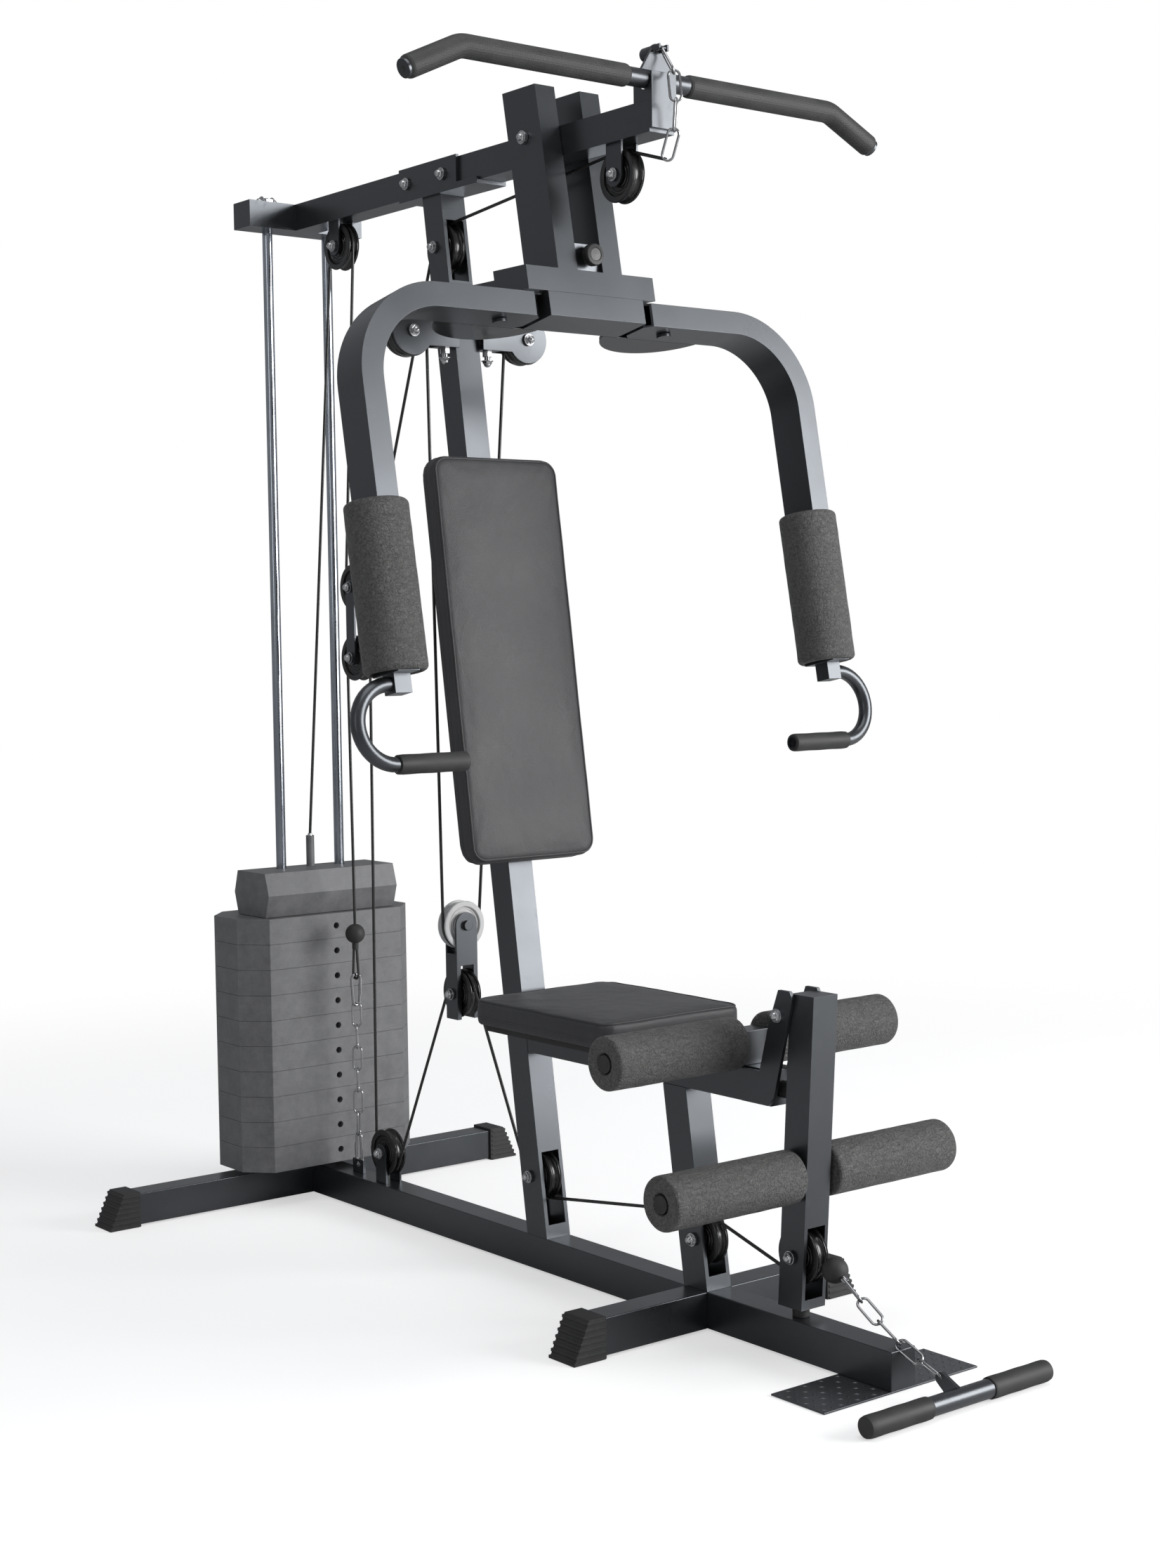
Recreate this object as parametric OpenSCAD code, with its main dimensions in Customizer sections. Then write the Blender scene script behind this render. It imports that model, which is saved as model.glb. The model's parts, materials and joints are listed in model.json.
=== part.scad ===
// Multi station home gym: welded tube frame, weight stack on guide rods, three cable runs,
// a press frame with butterfly arms, a leg developer, a lat bar and a low row bar.
// Millimetres. X is across the machine, -Y is the user's end, Z is up, floor at Z = 0.

/* [Frame] */
// Width of the square section used for the beams, posts and booms
tube_w = 50; // [46:1:54]
// Height of the floor beams
base_h = 58; // [52:1:64]
// Gap between the floor and the beams, filled by the end caps
floor_gap = 3; // [2:1:6]
// Wall thickness of every steel tube
wall = 3; // [2:0.5:4]
// Backward lean of the main upright and of the seat post, degrees
lean = 8.3; // [7:0.1:9]
// Front-to-back depth of the main upright
upright_d = 55; // [50:1:58]
// Height of the underside of the top boom
boom_z = 1858; // [1800:1:1900]
// Height of the top boom section
boom_h = 49; // [45:1:54]
// Front face of the rear cross beam, measured back from the upright's foot
rear_y = 752; // [745:1:760]
// Front face of the front cross beam
front_y = -410; // [-420:1:-400]
// Front end of the long floor beam
nose_y = -804; // [-820:1:-790]
// Half length of the rear cross beam over its caps
rear_half = 467; // [440:1:500]
// Half length of the front cross beam over its caps
front_half = 297; // [270:1:330]

/* [Stack] */
// Number of weight plates
plate_count = 10; // [6:1:10]
// Thickness of one weight plate
plate_t = 48; // [40:1:48]
// Half width of one weight plate
plate_half = 192; // [180:1:200]
// Radius of the chromed guide rods
rod_r = 9.5; // [8:0.5:11]
// Half spacing of the guide rods
rod_x = 66; // [55:1:75]
// Distance of the guide rods behind the upright's foot
rod_y = 778; // [776:1:780]

/* [Pulleys] */
// Outer radius of a cable pulley
pulley_r = 43; // [40:1:44]
// Radius at the bottom of the pulley groove
groove_r = 36; // [33:1:37]
// Radius of the coated cable
cable_r = 2.75; // [2:0.25:3]
// Radius of a pulley axle bolt
axle_r = 5; // [4:0.5:6]

/* [Seat] */
// Seat top height
seat_z = 486; // [478:1:500]
// Seat pad thickness
seat_t = 45; // [40:1:46]
// Seat half width
seat_half = 150; // [130:1:170]
// Backrest half width
back_half = 135; // [120:1:150]
// Backrest length along the upright
back_len = 700; // [600:1:720]
// Backrest thickness
back_t = 42; // [36:1:46]
// Radius of the rounded pad corners
pad_corner = 28; // [15:1:40]

/* [Press and butterfly] */
// Forward lean of the hanging arms, degrees
arm_lean = 10.5; // [9:0.5:11]
// Distance of each hanging arm from the middle
arm_x = 446; // [430:1:460]
// Bend radius of the arm tube
arm_bend = 140; // [120:5:150]
// Radius of the half round cable cam behind each arm
cam_r = 108; // [95:1:110]
// Radius of the arm foam
arm_foam_r = 50; // [46:1:52]
// Length of the arm foam
arm_foam_len = 261; // [220:1:270]

/* [Leg developer] */
// Radius of the leg foam rollers
roller_r = 41; // [38:1:42]
// Length of a leg foam roller
roller_len = 255; // [220:1:260]

/* [Bars] */
// Half length of the straight part of the lat bar
lat_half = 372; // [330:1:400]
// Half length of the row bar
row_half = 186; // [160:1:210]
// Radius of the bar grips
grip_r = 16; // [14:0.5:17]

/* [Hidden] */
// resolution of the round parts
$fn = 48;
// fits
slip = 0.05;
half = tube_w / 2;
eps = 0.5;
// whole machine is moved so that its footprint is centred on the origin
place_y = 28.5;
// floor beams
base_top = floor_gap + base_h;
cap_len = 66;
cap_side = 5;
cap_top = base_top + 4;
cap_slope = 30;
cap_tube_gap = 36;
rib_t = 5;
rib_pitch = 9.5;
rib_depth = 3;
plate_front_y = nose_y + 1;
foot_plate_half = 157.5;
foot_plate_d = 108;
tread_t = 3;
// upright
sleeve_t = 6;
upright_top = boom_z - sleeve_t;
lean_t = tan(lean);
// seat post and boom
seat_boom_z = 376;
seat_boom_h = 55;
seat_boom_front = -559;
post_y = front_y;
board_t = 10;
board_in = 12;
seat_front = -316;
seat_back = 43;
seat_low = seat_z - seat_t;
// backrest, in the leaning plane of the upright
back_start = 695;
back_board_t = 9;
// ears and leg developer
ear_t = 6;
ear_in = half + slip;
leg_half = half - 0.5;
leg_pivot = [-582, 518];
leg_back_top = [-601, 552];
leg_back_low = [-570, 78];
leg_d = 50;
leg_bush_r = 18;
pivot_r = 6;
leg_pulley = [-600, 156];
roller_low = [-608, 281];
roller_up = [-485, 464];
roller_in = 32;
roller_bar_r = 12.5;
roller_bore_r = roller_bar_r + slip;
roller_end = 4;
// pulleys
wheel_half = 12;
web_sink = 3;
hub_wall = 6;
rim_wall = 3.5;
flange_t = 2.5;
groove_half = 3.4;
strap_in = 13.5;
strap_t = 4;
strap_half = 14;
nut_r = 9;
nut_h = 7;
cable_path_r = groove_r + cable_r + eps;
cable_gap = 0.2;
slant_gap = 1.2;
p_front = [-205, 1809];
p_window = [282, 1763];
p_rear = [620, 1813];
p_block_hi = [590, 1179];
p_block_lo = [590, 1047];
p_base = [522, 118];
p_low = [46, 161];
p_post = [-378, 138];
slot_half = 18;
slot_window = [1702, 1808];
slot_low = [83, 206];
slot_post = [83, 185];
slot_leg = [93, 203];
// boom
boom_rear_y = 802;
boom_front_y = -303;
boom_split = 230;
sleeve_back = 380;
sleeve_front = 145;
cross_half = 124;
cross_front = 742;
sleeve_bolts = [246, 355];
// stack
plate_gap = 0.5;
stack_z = 71;
plate_pitch = plate_t + plate_gap;
stack_top = stack_z + plate_count * plate_pitch;
plate_d = 90;
plate_corner = 44;
plate_side = 47;
rod_clear = 1.5;
pin_hole_r = 6;
pin_hole_depth = 60;
spine_r = 11;
spine_gap = 1;
head_half = 145;
head_front = 694;
head_back = 822;
head_chamfer = 13;
head_h = 84;
crimp_r = 8;
crimp_h = 60;
// press frame
pivot = [-37, 1890];
swing_in = half + 1;
swing_w = 40;
swing_d = 88;
swing_top = 1971;
swing_low = 1671;
swing_t = tan(arm_lean);
tbar_half = 131;
tbar_low = 1632;
lock_y = -112;
lock_z = 1696;
lock_plate_t = 6;
lock_plate_h = 44;
lock_r = 5;
lock_knob_r = 18;
lock_knob_t = 15;
lock_gap = 9;
stop_z = 1640;
stop_h = 44;
stop_front = -28;
lug_t = 6;
lug_h = 30;
// butterfly arms, in the leaning frame of the press pivot
arm_top = -274;
arm_h = 39;
arm_d = 70;
arm_y = -8;
arm_mid = arm_top - arm_h / 2;
arm_in = 108;
arm_pivot_x = 170;
arm_drop = -876;
bracket_half = 98;
bracket_top = -273;
bracket_h = 40;
bracket_front = arm_y - 42;
bracket_back = arm_y + 34.4;
pin_cap = 6;
bridge_half = 196;
bridge_t = 4;
bridge_d = 56;
tab_x = 72;
tab_w = 11;
tab_d = 30;
cam_t = 12;
cam_lip = 3;
cam_lip_w = 6;
cam_path_r = cam_r - cam_lip_w + cable_r + slip;
cam_path_z = arm_top - arm_h + cam_t / 2;
cam_touch = 28;
cam_end = 21;
cam_touch_y = arm_y + cam_path_r * sin(cam_touch);
cam_point = [
  arm_pivot_x + cam_path_r * cos(cam_touch),
  pivot[0] + cam_touch_y * cos(arm_lean) + cam_path_z * sin(arm_lean),
  pivot[1] - cam_touch_y * sin(arm_lean) + cam_path_z * cos(arm_lean)
];
foam_top = -614;
block_w = 30;
hook_r = 60;
hook_x = 464;
hook_tube_r = 11.5;
hook_grip_len = 126;
hook_grip_r = 15;
// travelling block in front of the stack
fb_y = 272;
fb_hi = 572;
fb_lo = 449;
fb_half = 23;
fb_d = 34;
fb_bottom = 404;
fb_bridge = 500;
fb_bridge_t = 22;
// wing pulleys
wing_x = 122;
wing_y = 227;
wing_z = 1605;
wing_front = wing_y - wheel_half - 5;
wing_back = wing_y + wheel_half + 1;
wing_t = 4;
wing_end_r = pulley_r - 2;
wing_low = 23;
wing_high = 20;
wing_exit = 65;
wing_exit_r = pulley_r + cable_r + 1;
wing_point = [
  wing_x + wing_exit_r * cos(wing_exit), wing_y - wheel_half - 1,
  wing_z + wing_exit_r * sin(wing_exit)
];
// lat bar and its holder
lat_y = -290;
lat_z = 1940;
lat_core_r = 14.5;
lat_grip_r = 18;
lat_bare = 62;
lat_drop = 47;
lat_out = 102;
tab_t = 8;
tab_h = 56;
tab_foot = 34;
tab_head = 10;
tab_pin = [-306, 1984];
holder_top = 1950;
holder_t = 4;
// anchor tag and pulley straps on the base
base_strap = 17;
tag_half = 3;
tag_front = 16;
tag_back = 20;
tag_h = 26;
tag_hole_z = 15;
tag_hole_r = 6;
// row bar
row_y = -909;
row_z = 17;
row_core_r = 14;
row_bare = 62;
// chains
wire = 2.6;
link_half = 7;
link_play = 1.4;
ball_front = [-667, 146];
ball_rear = [622, 522];
ball_r = 20;

// ---------------------------------------------------------------- helpers
// draws a YZ outline between two X planes
module slab(points, x0, x1) {
  translate([x0, 0, 0])
    rotate([90, 0, 90])
      linear_extrude(height = x1 - x0)
        polygon(points);
}

// a straight round bar between two points
module rod(p, q, r) {
  v = q - p;
  translate(p)
    rotate([0, acos(v[2] / norm(v)), atan2(v[1], v[0])])
      cylinder(r = r, h = norm(v));
}

// a round bar along X centred on a YZ point
module cross_rod(c, x0, x1, r) {
  translate([x0, c[0], c[1]])
    rotate([0, 90, 0])
      cylinder(r = r, h = x1 - x0);
}

module box(x0, x1, y0, y1, z0, z1) {
  translate([x0, y0, z0])
    cube([x1 - x0, y1 - y0, z1 - z0]);
}

// the leaning tube profile, inset by a wall when asked
function lean_y(z) = (z - base_top) * lean_t;
function leaning(y, z0, z1, d, w) = [
  [y + lean_y(z0) + w, z0],
  [y + lean_y(z0) + d - w, z0],
  [y + lean_y(z1) + d - w, z1],
  [y + lean_y(z1) + w, z1]
];

// moves a child into the leaning frame of the press pivot
module hang() {
  translate([0, pivot[0], pivot[1]])
    rotate([-arm_lean, 0, 0])
      children();
}

module both_sides() {
  children();
  mirror([1, 0, 0])
    children();
}

// an axle bolt with a domed nut at each end, along X
module axle_x(c, reach, cap) {
  cross_rod(c, -reach - cap, reach + cap, axle_r);
  both_sides() {
    translate([reach, c[0], c[1]])
      rotate([0, 90, 0])
        cylinder(r = nut_r, h = cap, $fn = 6);
  }
}

// ---------------------------------------------------------------- pulleys
module wheel_shape(r, groove, bore) {
  web = wheel_half - web_sink;
  lip = wheel_half - 1;
  hub = bore + hub_wall;
  rotate_extrude()
    polygon([
      [bore, -wheel_half], [hub, -wheel_half], [hub + 1, -web], [groove - 2 * rim_wall, -web],
      [groove - rim_wall, -lip], [r, -lip], [r, -lip + flange_t], [groove, -groove_half],
      [groove, groove_half], [r, lip - flange_t], [r, lip], [groove - rim_wall, lip],
      [groove - 2 * rim_wall, web], [hub + 1, web], [hub, wheel_half], [bore, wheel_half]
    ]);
}

module wheel_x(c) {
  color("dimgray")
    translate([0, c[0], c[1]])
      rotate([0, 90, 0])
        wheel_shape(pulley_r, groove_r, axle_r + slip);
}

module wheel_y(c) {
  color("dimgray")
    translate(c)
      rotate([90, 0, 0])
        wheel_shape(pulley_r, groove_r, axle_r + slip);
}

// ---------------------------------------------------------------- base
module base_beam() {
  color("dimgray")
    difference() {
      box(-half, half, nose_y, rear_y, floor_gap, base_top);
      box(-half + wall, half - wall, nose_y + wall, rear_y + 1, floor_gap + wall, base_top - wall);
    }
}

module cross_beams() {
  rear_tube = rear_half - cap_tube_gap;
  front_tube = front_half - cap_tube_gap;
  color("dimgray") {
    difference() {
      box(-rear_tube, rear_tube, rear_y, rear_y + tube_w, floor_gap, base_top);
      box(-rear_tube - 1, rear_tube + 1, rear_y + wall, rear_y + tube_w - wall,
          floor_gap + wall, base_top - wall);
    }
    both_sides()
      difference() {
        box(half, front_tube, front_y, front_y + tube_w, floor_gap, base_top);
        box(half + wall, front_tube + 1, front_y + wall, front_y + tube_w - wall,
            floor_gap + wall, base_top - wall);
      }
  }
}

// one ribbed rubber cap at the +X end of a cross beam whose outer end is at x_end
module foot_cap(x_end, y) {
  y0 = y - cap_side;
  y1 = y + tube_w + cap_side;
  x_in = x_end - cap_len;
  difference() {
    union() {
      translate([0, y1, 0])
        rotate([90, 0, 0])
          linear_extrude(height = y1 - y0)
            polygon([
              [x_in, 0], [x_end - rib_depth, 0],
              [x_end - rib_depth - cap_slope, cap_top], [x_in, cap_top]
            ]);
      for (i = [0 : 6]) {
        z = i * rib_pitch;
        reach = x_end - cap_slope * (z + rib_t) / cap_top;
        box(x_in + rib_depth, reach, y0 - rib_depth / 2, y1 + rib_depth / 2, z, z + rib_t);
      }
    }
    box(x_in - 1, x_end - cap_tube_gap, y, y + tube_w, floor_gap, base_top);
  }
}

module foot_caps() {
  color("black")
    both_sides() {
      foot_cap(rear_half, rear_y);
      foot_cap(front_half, front_y);
    }
}

module foot_plate() {
  color("gray")
    box(-foot_plate_half, foot_plate_half, plate_front_y, plate_front_y + foot_plate_d, 0, tread_t);
}

// ---------------------------------------------------------------- posts
// a leaning hollow post with pulley windows front and back and bolt bores in its sides
module slotted_post(y, z0, z1, slots, bolts) {
  difference() {
    slab(leaning(y, z0, z1, upright_d, 0), -half, half);
    slab(leaning(y, z0 - 1, z1 + 1, upright_d, wall), -half + wall, half - wall);
    for (s = slots) {
      slab(leaning(y - wall, s[0], s[1], upright_d + 2 * wall, 0), -slot_half, slot_half);
    }
    for (b = bolts) {
      cross_rod(b, -half - 1, half + 1, axle_r + slip);
    }
  }
}

module main_upright() {
  color("dimgray")
    slotted_post(0, base_top, upright_top, [slot_low, slot_window], [p_low, p_window]);
}

module seat_post() {
  color("dimgray")
    slotted_post(post_y, base_top, seat_boom_z, [slot_post], [p_post]);
}

module seat_boom() {
  z0 = seat_boom_z;
  z1 = z0 + seat_boom_h;
  color("dimgray")
    difference() {
      slab([[seat_boom_front, z0], [lean_y(z0), z0], [lean_y(z1), z1], [seat_boom_front, z1]],
           -half, half);
      slab([
             [seat_boom_front + wall, z0 + wall], [lean_y(z0) + wall, z0 + wall],
             [lean_y(z1) + wall, z1 - wall], [seat_boom_front + wall, z1 - wall]
           ], -half + wall, half - wall);
    }
}

module boom_ears() {
  color("dimgray")
    both_sides()
      difference() {
        slab([[-500, 378], [-558, 378], [-571, 392], [-612, 545], [-606, 556], [-582, 556],
              [-560, 500], [-540, 429], [-500, 429]], ear_in - slip, ear_in + ear_t);
        cross_rod(leg_pivot, 0, 2 * half, pivot_r + slip);
      }
}

// ---------------------------------------------------------------- seat and backrest
module round_rect(w, h, r) {
  square([w - 2 * r, h], center = true);
  square([w, h - 2 * r], center = true);
  for (x = [-1, 1], y = [-1, 1]) {
    translate([x * (w / 2 - r), y * (h / 2 - r)])
      circle(r = r);
  }
}

// places a flat pad against the leaning face of the upright, offset outwards
module on_upright(away) {
  translate([0, lean_y(back_start), back_start])
    rotate([-lean, 0, 0])
      translate([0, -away, back_len / 2])
        rotate([90, 0, 0])
          children();
}

module seat_board() {
  translate([0, (seat_front + seat_back) / 2, seat_low - board_t])
    linear_extrude(height = board_t)
      round_rect(2 * (seat_half - board_in), seat_back - seat_front - 2 * board_in, pad_corner);
}

module pad_boards() {
  color("black") {
    seat_board();
    on_upright(0)
      linear_extrude(height = back_board_t)
        round_rect(2 * (back_half - board_in), back_len - 2 * board_in, pad_corner);
  }
}

module seat_pad() {
  color("black")
    translate([0, (seat_front + seat_back) / 2, seat_low])
      linear_extrude(height = seat_t)
        round_rect(2 * seat_half, seat_back - seat_front, pad_corner);
}

module back_pad() {
  color("black")
    on_upright(back_board_t)
      linear_extrude(height = back_t)
        round_rect(2 * back_half, back_len, pad_corner);
}

// ---------------------------------------------------------------- top boom
module top_boom_rear() {
  z1 = boom_z + boom_h;
  color("dimgray")
    difference() {
      union() {
        box(-half, half, boom_split, cross_front, boom_z, z1);
        box(-cross_half, cross_half, cross_front, boom_rear_y, boom_z, z1);
      }
      box(-half + wall, half - wall, boom_split - 1, cross_front + wall, boom_z + wall, z1 - wall);
      both_sides()
        translate([rod_x, rod_y, boom_z - 1])
          cylinder(r = rod_r + slip, h = boom_h + 2);
      for (y = sleeve_bolts) {
        cross_rod([y, boom_z + boom_h / 2], -half - 1, half + 1, axle_r + slip);
      }
    }
}

module top_boom_front() {
  z1 = boom_z + boom_h;
  color("dimgray")
    difference() {
      box(-half, half, boom_front_y, boom_split, boom_z, z1);
      box(-half + wall, half - wall, boom_front_y + wall, boom_split + 1, boom_z + wall, z1 - wall);
      cross_rod(pivot, -half - 1, half + 1, pivot_r + slip);
    }
}

module boom_sleeve() {
  z1 = boom_z + boom_h;
  color("dimgray")
    difference() {
      union() {
        box(-half - sleeve_t, half + sleeve_t, sleeve_front + 60, sleeve_back, upright_top, z1 + 3);
        box(-half - sleeve_t, half + sleeve_t, sleeve_front, sleeve_front + 60, upright_top,
            boom_z + 5);
      }
      box(-half, half, sleeve_front - 1, sleeve_back + 1, boom_z, z1 + 10);
      for (y = sleeve_bolts) {
        cross_rod([y, boom_z + boom_h / 2], -2 * half, 2 * half, axle_r + slip);
      }
    }
}

module bar_holder() {
  z1 = holder_top;
  color("dimgray")
    difference() {
      union() {
        box(-half, half, boom_front_y - sleeve_t, boom_front_y, boom_z + 6, z1);
        both_sides()
          box(half - holder_t, half, boom_front_y, boom_front_y + 38, boom_z + boom_h, z1);
      }
      cross_rod([lat_y, lat_z], -half - 1, half + 1, lat_core_r + slip + 1);
      box(-half - 1, half + 1, lat_y - lat_core_r - 1, lat_y + lat_core_r + 1, lat_z, z1 + 1);
    }
}

// a pair of hanger straps under the boom around one pulley
module hanger(c, width) {
  both_sides()
    difference() {
      union() {
        box(strap_in, strap_in + strap_t, c[0] - width / 2, c[0] + width / 2, c[1], boom_z);
        cross_rod(c, strap_in, strap_in + strap_t, width / 2);
      }
      cross_rod(c, 0, half, axle_r + slip);
    }
}

module boom_hangers() {
  color("dimgray") {
    hanger(p_front, 38);
    hanger(p_rear, 34);
  }
}

// ---------------------------------------------------------------- stack
module guide_rods() {
  color("silver")
    both_sides()
      translate([rod_x, rod_y, base_top])
        cylinder(r = rod_r, h = boom_z + boom_h + 12 - base_top);
}

module rubber_stops() {
  color("black") {
    both_sides()
      translate([rod_x, rod_y, base_top])
        difference() {
          cylinder(r = 2.2 * rod_r, h = stack_z - base_top - eps);
          translate([0, 0, -1])
            cylinder(r = rod_r + slip, h = stack_z);
        }
    rod([0, seat_boom_front, 400], [0, seat_boom_front - 30, 400], 13);
    box(-15, 15, stop_front - 6, stop_front, stop_z + 6, stop_z + 26);
    translate([0, -594, base_top])
      cylinder(r = 13, h = 12);
  }
}

module plate_outline() {
  d = plate_d;
  side = plate_side;
  polygon([
    [-plate_half, -side + 4], [-plate_half + plate_corner, -d], [plate_half - plate_corner, -d],
    [plate_half, -side + 4], [plate_half, side - 4], [plate_half - plate_corner, d],
    [-plate_half + plate_corner, d], [-plate_half, side - 4]
  ]);
}

module weight_plates() {
  color("gray")
    for (i = [0 : plate_count - 1]) {
      translate([0, rod_y, stack_z + i * plate_pitch])
        difference() {
          linear_extrude(height = plate_t)
            plate_outline();
          both_sides()
            translate([rod_x, 0, -1])
              cylinder(r = rod_r + rod_clear, h = plate_t + 2);
          translate([0, 0, -1])
            cylinder(r = spine_r + spine_gap, h = plate_t + 2);
          translate([0, -plate_d - 1, plate_t / 2])
            rotate([-90, 0, 0])
              cylinder(r = pin_hole_r, h = pin_hole_depth);
        }
    }
}

// hexagonal-section head on top of the stack, with the selector spine under it
module stack_head() {
  z0 = stack_top + eps;
  z1 = z0 + head_h;
  mid = (z0 + z1) / 2;
  color("dimgray")
    difference() {
      union() {
        slab([[head_front + head_chamfer, z0], [head_back - head_chamfer, z0], [head_back, mid],
              [head_back - head_chamfer, z1], [head_front + head_chamfer, z1], [head_front, mid]],
             -head_half, head_half);
        translate([0, rod_y, stack_z + 2])
          cylinder(r = spine_r, h = z0 - stack_z);
        translate([0, rod_y, z1 - 1])
          cylinder(r = crimp_r, h = crimp_h + 1);
      }
      both_sides()
        translate([rod_x, rod_y, z0 - 1])
          cylinder(r = rod_r + rod_clear, h = head_h + 2);
    }
}

// ---------------------------------------------------------------- brackets on the frame
module stop_tube() {
  z0 = stop_z;
  z1 = stop_z + stop_h;
  color("dimgray")
    difference() {
      union() {
        slab([[stop_front, z0], [lean_y(z0), z0], [lean_y(z1), z1], [stop_front, z1]],
             -half + 2, half - 2);
        box(-20, 20, stop_front, stop_front + lug_t, z1, z1 + lug_h);
      }
      slab([
             [stop_front + wall, z0 + wall], [lean_y(z0) + wall, z0 + wall],
             [lean_y(z1) + wall, z1 - wall], [stop_front + wall, z1 - wall]
           ], -half + 2 + wall, half - 2 - wall);
      rod([0, stop_front - 1, lock_z], [0, stop_front + lug_t + 1, lock_z], lock_r + 1);
    }
}

// pairs of plates that hold the two side pulleys, on flanges bolted to the upright
module pulley_wings() {
  color("dimgray")
    both_sides()
      difference() {
        union() {
          for (y = [wing_front, wing_back]) {
            box(half, wing_x, y, y + wing_t, wing_z - wing_low, wing_z + wing_high);
            rod([wing_x, y, wing_z], [wing_x, y + wing_t, wing_z], wing_end_r);
          }
          box(half, half + 40, wing_front, wing_back + wing_t, wing_z - wing_low,
              wing_z - wing_low + wing_t);
        }
        rod([wing_x, wing_front - 1, wing_z], [wing_x, wing_back + wing_t + 1, wing_z],
            axle_r + slip);
        translate([half + 20, wing_y, wing_z - wing_low - 1])
          cylinder(r = axle_r + slip, h = wing_t + 2);
      }
}

module base_brackets() {
  color("dimgray") {
    both_sides()
      difference() {
        union() {
          box(strap_in, strap_in + strap_t, p_base[0] - base_strap, p_base[0] + base_strap,
              base_top, p_base[1]);
          cross_rod(p_base, strap_in, strap_in + strap_t, base_strap);
        }
        cross_rod(p_base, 0, half, axle_r + slip);
      }
    difference() {
      box(-tag_half, tag_half, ball_rear[0] - tag_front, ball_rear[0] + tag_back, base_top,
          base_top + tag_h);
      cross_rod([ball_rear[0], base_top + tag_hole_z], -tag_half - 1, tag_half + 1, tag_hole_r);
    }
  }
}

module upper_roller_bar() {
  z0 = seat_boom_z + seat_boom_h;
  c = roller_up;
  color("dimgray") {
    box(-roller_in + 4, roller_in - 4, c[0] - 19, c[0] + 19, z0, c[1] + 19);
    cross_rod(c, -roller_in - roller_len + roller_end, roller_in + roller_len - roller_end,
              roller_bar_r);
  }
}

// bolts of the frame: pulley axles, sleeve bolts, pivots, wing flange bolts and rod nuts
module frame_bolts() {
  color("silver") {
    axle_x(p_front, strap_in + strap_t, 6);
    axle_x(p_rear, strap_in + strap_t, nut_h);
    axle_x(p_base, strap_in + strap_t, nut_h);
    axle_x(p_window, half, nut_h);
    axle_x(p_low, half, nut_h);
    axle_x(p_post, half, nut_h);
    for (y = sleeve_bolts) {
      axle_x([y, boom_z + boom_h / 2], half + sleeve_t, nut_h);
    }
    cross_rod(pivot, -swing_in - swing_w - nut_h, swing_in + swing_w + nut_h, pivot_r);
    cross_rod(leg_pivot, -ear_in - ear_t - nut_h, ear_in + ear_t + nut_h, pivot_r);
    both_sides() {
      cross_rod(pivot, swing_in + swing_w + eps, swing_in + swing_w + nut_h, 11);
      cross_rod(leg_pivot, ear_in + ear_t, ear_in + ear_t + nut_h, 10);
      rod([wing_x, wing_front - nut_h, wing_z], [wing_x, wing_back + wing_t + nut_h, wing_z],
          axle_r);
      rod([wing_x, wing_front - nut_h, wing_z], [wing_x, wing_front, wing_z], nut_r);
      translate([half + 20, wing_y, wing_z - wing_low - 20])
        cylinder(r = axle_r, h = 32);
      translate([half + 20, wing_y, wing_z - wing_low - 10])
        cylinder(r = nut_r, h = 10, $fn = 6);
      translate([rod_x, rod_y, boom_z + boom_h])
        difference() {
          cylinder(r = 14, h = 10, $fn = 6);
          translate([0, 0, -1])
            cylinder(r = rod_r + slip, h = 12);
        }
    }
  }
}

// ---------------------------------------------------------------- press frame
function swing_y(z) = pivot[0] - (pivot[1] - z) * swing_t;
function swing_box(z0, z1, w) = [
  [swing_y(z1) - swing_d / 2 + w, z1], [swing_y(z1) + swing_d / 2 - w, z1],
  [swing_y(z0) + swing_d / 2 - w, z0], [swing_y(z0) - swing_d / 2 + w, z0]
];

module swing_frame() {
  color("dimgray")
    difference() {
      union() {
        both_sides()
          difference() {
            slab(swing_box(swing_low, swing_top, 0), swing_in, swing_in + swing_w);
            slab(swing_box(swing_low + wall, swing_top - wall, wall), swing_in + wall,
                 swing_in + swing_w - wall);
            cross_rod(pivot, 0, 4 * half, pivot_r + slip);
          }
        slab(swing_box(tbar_low, swing_low, 0), -tbar_half, tbar_half);
        box(-swing_in, swing_in, lock_y, lock_y + lock_plate_t, swing_low, swing_low + lock_plate_h);
      }
      slab(swing_box(tbar_low + wall, swing_low - wall, wall), -tbar_half + wall, tbar_half - wall);
      rod([0, lock_y - 1, lock_z], [0, lock_y + lock_plate_t + 1, lock_z], lock_r + slip);
    }
}

module lock_knob() {
  y0 = lock_y - lock_gap;
  color("black") {
    rod([0, y0 - lock_knob_t, lock_z], [0, y0, lock_z], lock_knob_r);
    rod([0, y0 - 1, lock_z], [0, stop_front - 1.5, lock_z], lock_r);
  }
}

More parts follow.
